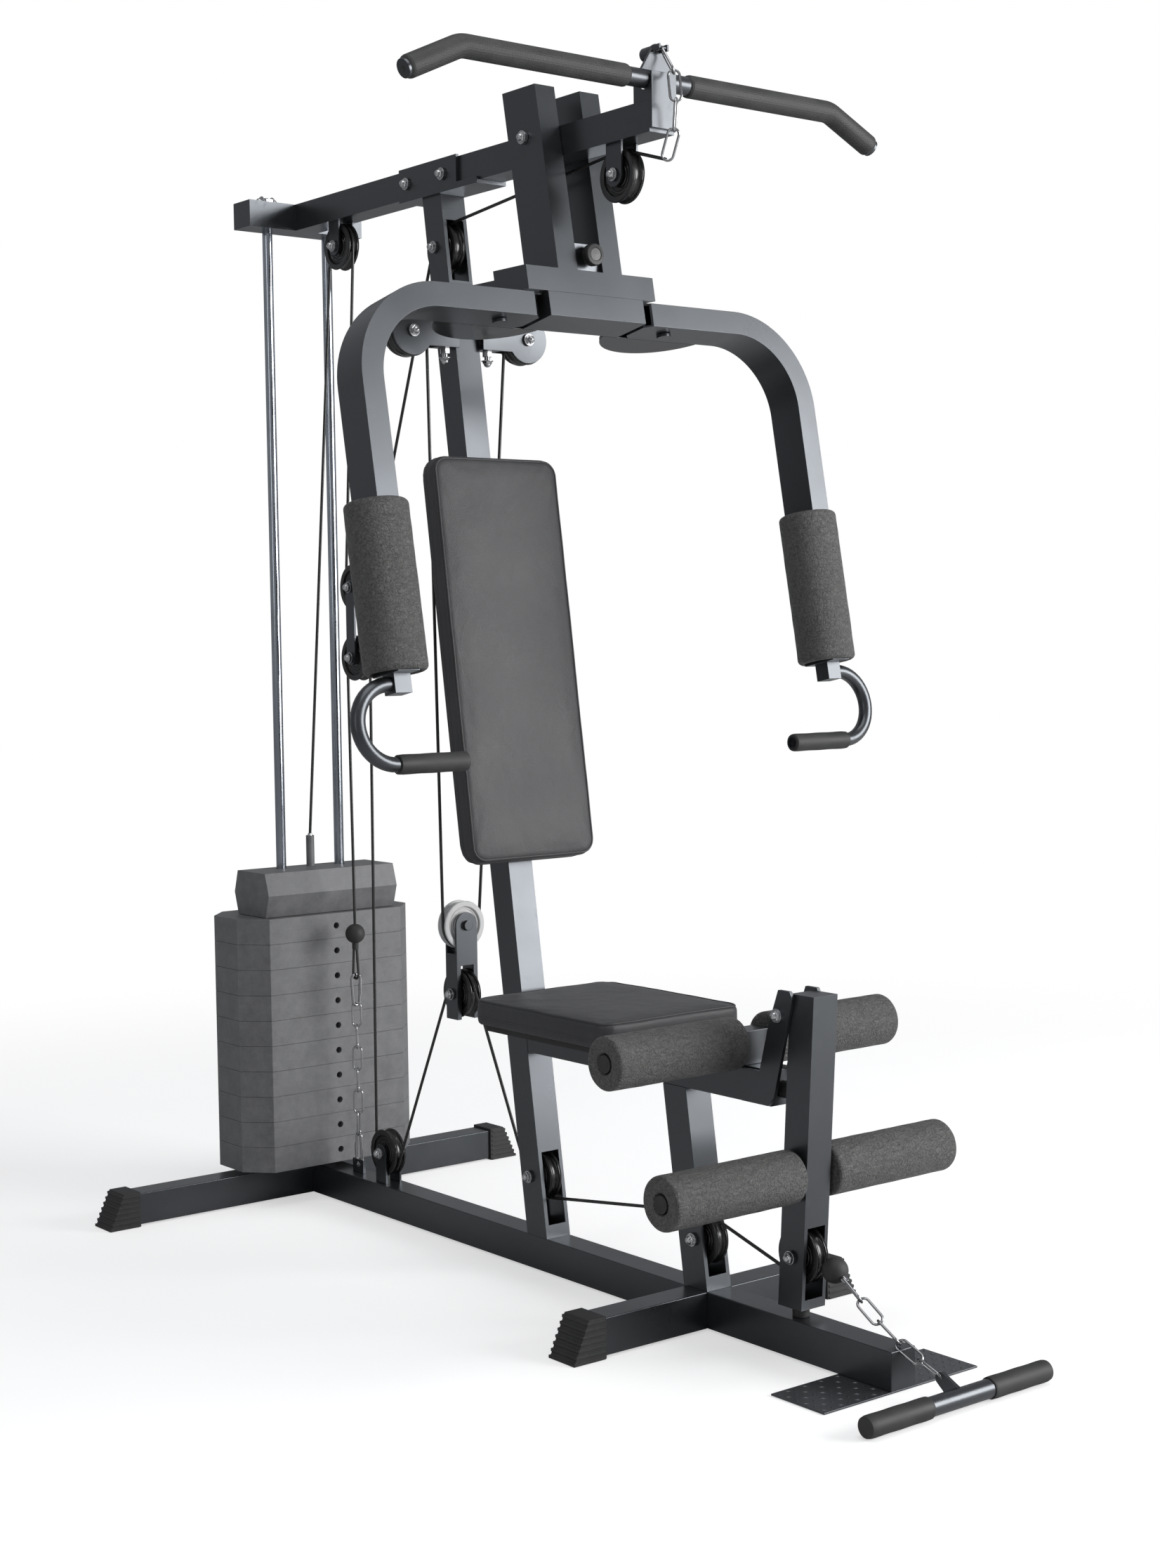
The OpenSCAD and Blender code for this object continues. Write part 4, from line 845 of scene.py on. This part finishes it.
lo_c, hi_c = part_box("lat_chain")
top = Vector((0, pin_y, pin_z))
tip = Vector((0, lo_c.y + 0.034, lo_c.z + 0.006))
m = Mesh()
sag = [top + Vector((0, 0.0, -0.004)), Vector((0, lo_c.y + 0.012, top.z - 0.046)),
       Vector((0, lo_c.y + 0.0098, (top.z + tip.z) / 2)),
       Vector((0, lo_c.y + 0.013, tip.z + 0.045)), tip]
chain(m, sag, *LINK)
m.piece("pulldown_chain_links", "links", "lat", ("lat_chain",), 40)

lo_c, hi_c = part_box("row_chain")
ball_r = 0.020
row_ball = Vector((0, hi_c.y - ball_r, hi_c.z - ball_r))
m = Mesh()
ball(m, row_ball, ball_r - 0.0003, 40, 24, (0, 1, 0))
m.piece("row_cable_ball", "rubber", "row_line", (), 40)
m = Mesh()
out = row_ball + (eye - row_ball).normalized() * ball_r
sag = [out + Vector((0, 0.002, 0)), out.lerp(eye, 0.30) + Vector((0, 0, -0.010)),
       out.lerp(eye, 0.62) + Vector((0, 0, -0.012)), eye]
pts = along(sag, 24)
lathe(m, [(1e-5, -0.004), (0.0052, -0.004), (0.0052, 0.005), (0.0036, 0.008), (1e-5, 0.008)],
      out, eye - row_ball, 24)
chain(m, pts, *LINK)
m.piece("row_chain_links", "links", "row_line", ("row_chain",), 40)

lo_c, hi_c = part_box("anchor_chain")
ball_r = 0.019
back_ball = Vector((0, (lo_c.y + hi_c.y) / 2, hi_c.z - ball_r))
m = Mesh()
ball(m, back_ball, ball_r - 0.0003, 40, 24)
lathe(m, [(1e-5, -0.010), (0.0062, -0.010), (0.0062, 0.002), (0.0080, 0.004), (1e-5, 0.004)],
      back_ball - Vector((0, 0, ball_r)), (0, 0, 1), 24)
z1, z0 = back_ball.z - ball_r - 0.006, lo_c.z + 0.004
y = back_ball.y
link(m, (0, y, z1 - 0.030), (0, 0, -1), (1, 0, 0), 0.062, 0.0090, 0.0026, 0.6)
m.piece("anchor_ball_and_eye", "rubber", "frame", (), 40)
m = Mesh()
snap_hook(m, (0, y, z1 - 0.112), (0, y, z1 - 0.056), 0.0030, (0, 1, 0))
chain(m, [(0, y, z1 - 0.110), (0, y, z0 + 0.060)], *SLIM_LINK, 1)
snap_hook(m, (0, y, z0 + 0.062), (0, y, z0), 0.0031, (1, 0, 0))
m.piece("anchor_chain_links", "links", "frame", ("anchor_chain",), 40)


# ------------------------------------------------------------------ cables
def wheel(node, sign=1):
    """Centre in the YZ plane and signed path radius of a pulley turning about X."""
    j = joints[node + "_spin"]
    lo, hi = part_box(node)
    return Vector(j["pos_m"][1:]), sign * ((hi.z - lo.z) / 2 - GROOVE + WIRE), j["parent"]


def tangent(a, ra, b, rb):
    """Angle of the shared normal of a cable running from circle a to circle b."""
    d = b - a
    return math.atan2(d.y, d.x) + math.acos(max(-1, min(1, (ra - rb) / d.length)))


def on(c, r, n):
    """Point at angle n on a circle in the YZ plane."""
    return Vector((0, c.x + r * math.cos(n), c.y + r * math.sin(n)))


def straight_run(name, a, b, body_a, body_b, replaces=()):
    """A stretch of cable; one between two joined bodies is cut in 24 segments and left on no body."""
    m = Mesh()
    count = 2 if body_a == body_b else 24
    sweep(m, [Vector(a).lerp(Vector(b), k / count) for k in range(count + 1)], WIRE, 14)
    if body_a == body_b:
        return m.piece(name, "cable", body_a, replaces, 40)
    o = m.piece(name, "cable", None, replaces, 40)
    pair = {frozenset((j["parent"], j["child"])) for j in frame["joints"]}
    assert frozenset((body_a, body_b)) in pair, name
    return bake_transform(o)


def arc(name, c, r, n0, n1, body):
    """Cable round a pulley, from the normal n0 to n1, the short way its turn demands."""
    turn = (n0 - n1) % (2 * math.pi) if r > 0 else (n1 - n0) % (2 * math.pi)
    count = max(3, int(turn / 0.09))
    step = -turn if r > 0 else turn
    m = Mesh()
    sweep(m, [on(c, r, n0 + step * k / count) for k in range(count + 1)], WIRE, 14, caps=False)
    return m.piece(name, "cable", body, (), 40)


def route(prefix, start, start_body, wheels, stop, stop_body, replaces=()):
    """A cable in the machine's middle plane, from start round its wheels to stop."""
    stations = [(Vector(start[1:]), 0.0, start_body)] + wheels + [(Vector(stop[1:]), 0.0, stop_body)]
    normals = [tangent(a[0], a[1], b[0], b[1]) for a, b in zip(stations, stations[1:])]
    for k, (a, b, n) in enumerate(zip(stations, stations[1:], normals)):
        straight_run(f"{prefix}_run_{k}", on(a[0], a[1], n), on(b[0], b[1], n), a[2], b[2],
                     replaces if k == 0 else ())
    for k in range(1, len(stations) - 1):
        c, r, body = stations[k]
        arc(f"{prefix}_turn_{k}", c, r, normals[k - 1], normals[k], body)


head_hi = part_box("stack_head")[1]
head_part = np.array([v.co for v in frame["nodes"]["stack_head"].data.vertices])
crimp = head_part[head_part[:, 2] > head_hi.z - 0.001].mean(0)
route("lat_cable", tip + Vector((0, 0.002, 0.0)), "lat",
      [wheel("wheel_boom_front"), wheel("wheel_window"), wheel("wheel_rear_upper", -1),
       wheel("wheel_boom_rear")],
      Vector((0, crimp[1], head_hi.z)), "head", ("cables",))
route("low_cable", back_ball + Vector((0, 0, 0.018)), "frame",
      [wheel("wheel_rear_lower", -1), wheel("wheel_base"), wheel("wheel_front_lower", -1),
       wheel("wheel_upright"), wheel("wheel_seat_post", -1), wheel("wheel_leg")],
      row_ball + Vector((0, 0.018, 0.002)), "row_line")

c = Vector(joints["wheel_front_upper_spin"]["pos_m"])
lo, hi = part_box("wheel_front_upper")
r = (hi.x - lo.x) / 2 - GROOVE + WIRE


def flat_arc(centre, r, n0, n1, count, s=1):
    """Points of an arc in the plane square to the machine's depth, mirrored where s is -1."""
    return [centre + Vector((s * r * math.cos(a), 0, r * math.sin(a))) for a in np.linspace(n0, n1, count)]


m = Mesh()
sweep(m, flat_arc(c, r, math.pi, 2 * math.pi, 33), WIRE, 14, caps=False)
m.piece("arm_cable_turn_block", "cable", "block_front", (), 40)
for side, s in (("right", 1), ("left", -1)):
    wc = Vector(joints["wheel_wing_" + side + "_spin"]["pos_m"])
    lo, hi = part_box("wheel_wing_" + side)
    rim, half_w = (hi.x - lo.x) / 2, (hi.y - lo.y) / 2
    straight_run("arm_cable_rise_" + side, c + Vector((s * r, 0, 0)), wc - Vector((s * r, 0, 0)),
                 "block_front", "frame")
    leave = math.radians(65)
    pts = flat_arc(wc, r, math.pi, leave + 0.25, 15, s)
    for out, fore, a in ((0.45, 0.22, 0.1), (0.85, 0.62, 0.04), (1.0, 1.0, 0.0)):
        q = r + (rim + WIRE + 0.001 - r) * out
        pts.append(wc + Vector((s * q * math.cos(leave + a), -(half_w + 0.001) * fore,
                                q * math.sin(leave + a))))
    m = Mesh()
    sweep(m, pts, WIRE, 14, caps=False)
    m.piece("arm_cable_turn_" + side, "cable", "frame", (), 40)
    cam_lo, cam_hi = local_box("cam_" + side)
    hub = lean.transposed() @ (Vector(joints["arm_" + side + "_swing"]["pos_m"]) - press)
    rc = cam_hi.y - hub.y - 0.0032
    rim_at = [hang(hub.x + s * rc * math.cos(a), hub.y + rc * math.sin(a), (cam_lo.z + cam_hi.z) / 2)
              for a in np.radians(np.linspace(20.0, 160.0, 36))]
    touch = hang(hub.x + s * rc * math.cos(math.radians(28)), hub.y + rc * math.sin(math.radians(28)),
                 (cam_lo.z + cam_hi.z) / 2)
    straight_run("arm_cable_pull_" + side, pts[-1], touch, "frame", "press")
    m = Mesh()
    sweep(m, rim_at, WIRE, 12)
    m.piece("arm_cable_wrap_" + side, "cable", "arm_r" if s > 0 else "arm_l", (), 40)

m = Mesh()
lathe(m, [(1e-5, 0), (0.0062, 0), (0.0066, 0.004), (0.0066, 0.030), (0.0050, 0.034), (0.0040, 0.044),
          (1e-5, 0.044)], (0, crimp[1], head_hi.z - 0.040), (0, 0, 1), 28)
m.piece("stack_cable_ferrule", "zinc", "head", (), 35)


# ------------------------------------------------------------------ checker tread
lo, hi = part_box("foot_plate")
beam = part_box("base_beam")
m = Mesh()
pitch, long, wide, high = 0.0165, 0.0105, 0.0032, 0.0013
nx, ny = int((hi.x - lo.x) / pitch), int((hi.y - lo.y) / pitch)
for i in range(nx):
    for k in range(ny):
        x = lo.x + (i + 0.5) * (hi.x - lo.x) / nx
        y = lo.y + (k + 0.5) * (hi.y - lo.y) / ny
        if abs(x) < beam[1].x + 0.007 and y > beam[0].y - 0.005:
            continue
        a = math.pi / 4 if (i + k) % 2 else -math.pi / 4
        u = Vector((math.cos(a), math.sin(a), 0))
        v = Vector((-u.y, u.x, 0))
        c = Vector((x, y, hi.z - 0.0001))
        rim = [c + u * long * 0.5, c + u * long * 0.22 + v * wide / 2, c - u * long * 0.22 + v * wide / 2,
               c - u * long * 0.5, c - u * long * 0.22 - v * wide / 2, c + u * long * 0.22 - v * wide / 2]
        crest = [c + (p - c) * 0.45 + Vector((0, 0, high)) for p in rim]
        m.add(rim + crest, [tuple(range(6, 12))]
              + [(q, (q + 1) % 6, (q + 1) % 6 + 6, q + 6) for q in range(6)])
m.piece("foot_plate_tread", "plate", "frame", (), 60)


# ------------------------------------------------------------------ cushions
def rounded_outline(w, h, r, steps=10):
    pts = []
    for cx, cy, a0 in ((w - r, h - r, 0), (-w + r, h - r, 90), (-w + r, -h + r, 180), (w - r, -h + r, 270)):
        for k in range(steps + 1):
            a = math.radians(a0 + 90 * k / steps)
            pts.append((cx + r * math.cos(a), cy + r * math.sin(a)))
    return pts


def cushion(name, half_w, half_h, corner, thick, place, node):
    """A padded cushion in its own frame: base at z 0, then swollen by cloth under pressure."""
    cap, crown = 0.0015, 0.0018     # how far the cloth may move a point, and the extra height, m
    b = bmesh.new()
    rows = [(0.0030, 0.0), (0.0008, 0.004), (0.0, thick * 0.35), (0.0, thick * 0.62)]
    fillet, slack, welt = 0.008, 0.002, 0.0085
    for k in range(1, 7):
        a = math.pi / 2 * k / 6
        rows.append((fillet * (1 - math.cos(a)), thick - 0.004 - fillet + fillet * math.sin(a)))
    rings = []
    for inset, z in rows:
        inset_ring = rounded_outline(half_w - slack - inset, half_h - slack - inset, max(0.004, corner - inset))
        rings.append([b.verts.new((x, y, z)) for x, y in inset_ring])
    n = len(rings[0])
    for lower, upper in zip(rings, rings[1:]):
        for i in range(n):
            b.faces.new((lower[i], lower[(i + 1) % n], upper[(i + 1) % n], upper[i]))
    b.faces.new(list(reversed(rings[0])))
    b.faces.new(rings[-1])
    bmesh.ops.triangulate(b, faces=[f for f in b.faces if len(f.verts) > 4])
    me = bpy.data.meshes.new(name)
    b.to_mesh(me)
    b.free()
    o = bpy.data.objects.new(name, me)
    scene.collection.objects.link(o)
    mod = o.modifiers.new("voxels", "REMESH")
    mod.mode, mod.voxel_size, mod.use_smooth_shade = "VOXEL", 0.0055, True
    bake(o)
    start = np.array([v.co for v in o.data.vertices])
    fixed = o.vertex_groups.new(name="fixed")
    fixed.add([i for i, p in enumerate(start) if p[2] < 0.006], 1.0, "REPLACE")
    cloth = o.modifiers.new("cloth", "CLOTH")
    cloth.settings.use_pressure = True
    cloth.settings.uniform_pressure_force = 4.0
    cloth.settings.quality = 6
    cloth.settings.mass = 0.3
    cloth.settings.tension_stiffness = 25
    cloth.settings.bending_stiffness = 0.6
    cloth.settings.vertex_group_mass = "fixed"
    cloth.settings.effector_weights.gravity = 0.0
    for f in range(1, 21):
        scene.frame_set(f)
    bake(o)
    scene.frame_set(1)
    now = np.array([v.co for v in o.data.vertices])
    move = now - start
    far = np.linalg.norm(move, axis=1, keepdims=True)
    now = start + move * np.minimum(1.0, cap / np.maximum(far, 1e-9))
    ex = np.clip(1 - (now[:, 0] / half_w) ** 2, 0, 1) * np.clip(1 - (now[:, 1] / half_h) ** 2, 0, 1)
    upper = np.clip((now[:, 2] - thick * 0.5) / (thick * 0.5), 0, 1)
    now[:, 2] += crown * ex ** 0.5 * upper
    for i, p in enumerate(now):
        wave = noise.noise(Vector(p) * 16.0) * 0.0011 + noise.noise(Vector(p) * 47.0) * 0.00035
        now[i, 2] += wave * upper[i]
    now[:, 2] = np.clip(now[:, 2], 0.0, thick + 0.004)
    limit_w, limit_h = half_w + 0.0015, half_h + 0.0015
    now[:, 0] = np.clip(now[:, 0], -limit_w, limit_w)
    now[:, 1] = np.clip(now[:, 1], -limit_h, limit_h)
    o.data.vertices.foreach_set("co", now.astype(np.float32).ravel())
    sub = o.modifiers.new("fine", "SUBSURF")
    sub.levels = sub.render_levels = 1
    bake(o)
    tree = BVHTree.FromPolygons([v.co.copy() for v in o.data.vertices],
                                [tuple(p.vertices) for p in o.data.polygons])
    cord = Mesh()
    path = []
    for x, y in resample(rounded_outline(half_w - welt, half_h - welt, max(0.006, corner - welt)), 0.006):
        hit = tree.ray_cast(Vector((x, y, thick + 0.05)), Vector((0, 0, -1)))[0]
        path.append(hit + Vector((0, 0, 0.0002)))
    sweep(cord, path, 0.0020, 10, closed=True)
    lower = []
    far_off = 0.03
    for x, y in resample(rounded_outline(half_w + far_off, half_h + far_off, corner + far_off), 0.008):
        aim = Vector((max(-half_w + corner, min(half_w - corner, x)),
                      max(-half_h + corner, min(half_h - corner, y)), 0))
        d = (aim - Vector((x, y, 0))).normalized()
        hit = tree.ray_cast(Vector((x, y, thick * 0.30)), d)[0]
        if hit:
            lower.append(hit + d * 0.0006)
    sweep(cord, lower, 0.0014, 8, closed=True)
    o.data.transform(place)
    o.data.materials.clear()
    o.data.materials.append(M["pad"])
    o.data.shade_smooth()
    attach(o, "frame")
    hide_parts(node)
    c = cord.piece(name + "_piping", "pad", None, (), 60)
    c.data.transform(place)
    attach(c, "frame")


def resample(outline, step):
    pts = [Vector((x, y)) for x, y in outline]
    pts.append(pts[0])
    out = []
    for a, b in zip(pts, pts[1:]):
        n = max(1, int((b - a).length / step))
        out += [a.lerp(b, k / n) for k in range(n)]
    return [(p.x, p.y) for p in out]


def bake(o):
    """Replaces an object's mesh by its evaluated mesh and drops its modifiers."""
    dg = bpy.context.evaluated_depsgraph_get()
    me = bpy.data.meshes.new_from_object(o.evaluated_get(dg))
    o.modifiers.clear()
    o.data = me


lo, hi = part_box("seat_pad")
c = (lo + hi) / 2
cushion("seat_cushion", (hi.x - lo.x) / 2, (hi.y - lo.y) / 2, 0.028, hi.z - lo.z,
        Matrix.Translation((c.x, c.y, lo.z)), "seat_pad")

part = np.array([v.co for v in frame["nodes"]["back_pad"].data.vertices])
flat = part[:, 1:]
centre = flat.mean(0)
lo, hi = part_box("back_pad")
best = None
for step in range(0, 1200):
    a = math.radians(step * 0.01)
    along_axis = np.array([math.sin(a), math.cos(a)])
    across = np.array([-math.cos(a), math.sin(a)])
    span = flat @ across
    if best is None or span.max() - span.min() < best[0]:
        best = (span.max() - span.min(), along_axis, across)
thick, up2, out2 = best
u = Vector((0, up2[0], up2[1]))
w = Vector((0, out2[0], out2[1]))
length = (flat @ up2).max() - (flat @ up2).min()
mid = ((flat @ up2).max() + (flat @ up2).min()) / 2
base = (flat @ out2).min()
origin = u * mid + w * base
place = Matrix.Translation(origin) @ Matrix((Vector((1, 0, 0)), u, w)).transposed().to_4x4()
cushion("back_cushion", (hi.x - lo.x) / 2, length / 2, 0.032, thick, place, "back_pad")


# ------------------------------------------------------------------ stage, light and camera
def floor_material():
    """Pale seamless sweep: nearly white where lit, soft grey only in contact shadows."""
    g = Graph("stage_floor")
    reach = g.node("VectorMath", {0: g.coord}, operation="LENGTH").outputs["Value"]
    far = g.ramp(reach, 1.6, 3.6, 0, 1, True)
    speck = g.noise(3.0, 4.0, 0.6)
    g.set(Base_Color=g.mix(speck, rgb(0.66), rgb(0.70)), Roughness=0.7, Specular_IOR_Level=0.1)
    lift = g.node("Emission", {"Color": rgb(1.0), "Strength": 0.54})
    white = g.node("Emission", {"Color": rgb(1.0), "Strength": 1.0})
    add = g.node("AddShader")
    near = g.node("MixShader", {0: far})
    final = g.node("MixShader", {0: g.node("LightPath").outputs["Is Camera Ray"]})
    for a, b in ((g.bsdf.outputs[0], add.inputs[0]), (lift.outputs[0], add.inputs[1]),
                 (add.outputs[0], near.inputs[1]), (white.outputs[0], near.inputs[2]),
                 (g.bsdf.outputs[0], final.inputs[1]), (near.outputs[0], final.inputs[2]),
                 (final.outputs[0], g.tree.nodes["Material Output"].inputs["Surface"])):
        g.tree.links.new(a, b)
    return g.mat


bpy.ops.mesh.primitive_plane_add(size=60, location=(0, 0, -0.0005))
floor = bpy.context.object
floor.name = "stage_floor"
floor.data.materials.append(floor_material())

world = bpy.data.worlds.new("studio")
scene.world = world
world.use_nodes = True
wt = world.node_tree
room = wt.nodes["Background"]
room.inputs["Color"].default_value = (0.93, 0.96, 1.0, 1)
room.inputs["Strength"].default_value = 0.3
backdrop = wt.nodes.new("ShaderNodeBackground")
backdrop.inputs["Color"].default_value = (1, 1, 1, 1)
seen = wt.nodes.new("ShaderNodeLightPath")
choose = wt.nodes.new("ShaderNodeMixShader")
wt.links.new(seen.outputs["Is Camera Ray"], choose.inputs[0])
wt.links.new(room.outputs[0], choose.inputs[1])
wt.links.new(backdrop.outputs[0], choose.inputs[2])
wt.links.new(choose.outputs[0], wt.nodes["World Output"].inputs["Surface"])


def softbox(name, location, target, size, power):
    light = bpy.data.lights.new(name, "AREA")
    light.shape = "RECTANGLE"
    light.size, light.size_y = size
    light.energy = power
    o = bpy.data.objects.new(name, light)
    o.location = location
    o.rotation_euler = (Vector(target) - Vector(location)).to_track_quat("-Z", "Y").to_euler()
    scene.collection.objects.link(o)


for name, location, target, size, power in (
        ("key_right", (3.3, -4.3, 2.0), (0, 0, 1.2), (3.4, 2.9), 300),
        ("top", (-0.4, -1.2, 4.6), (0, 0, 0), (3.0, 3.0), 50),
        ("left_fill", (-4.6, -1.6, 2.4), (0, 0, 1.0), (0.8, 2.6), 12)):
    softbox(name, location, target, size, power)

cam_data = bpy.data.cameras.new("camera")
cam = bpy.data.objects.new("camera", cam_data)
scene.collection.objects.link(cam)
scene.camera = cam
cam_at = (-2.32976, -2.99938, 1.08838)
cam_angles = (38.282, -3.806, -0.782)
cam_data.lens = 52.243
cam_data.sensor_width = 36.0
cam_data.clip_end = 200
yaw, pitch, roll = (math.radians(a) for a in cam_angles)
forward = Vector((math.sin(yaw) * math.cos(pitch), math.cos(yaw) * math.cos(pitch), math.sin(pitch)))
right = Vector((math.cos(yaw), -math.sin(yaw), 0))
up = right.cross(forward)
right2 = right * math.cos(roll) + up * math.sin(roll)
up2 = up * math.cos(roll) - right * math.sin(roll)
cam.matrix_world = Matrix.Translation(cam_at) @ Matrix((right2, up2, -forward)).transposed().to_4x4()

scene.view_settings.view_transform = "Standard"
scene.view_settings.look = "None"
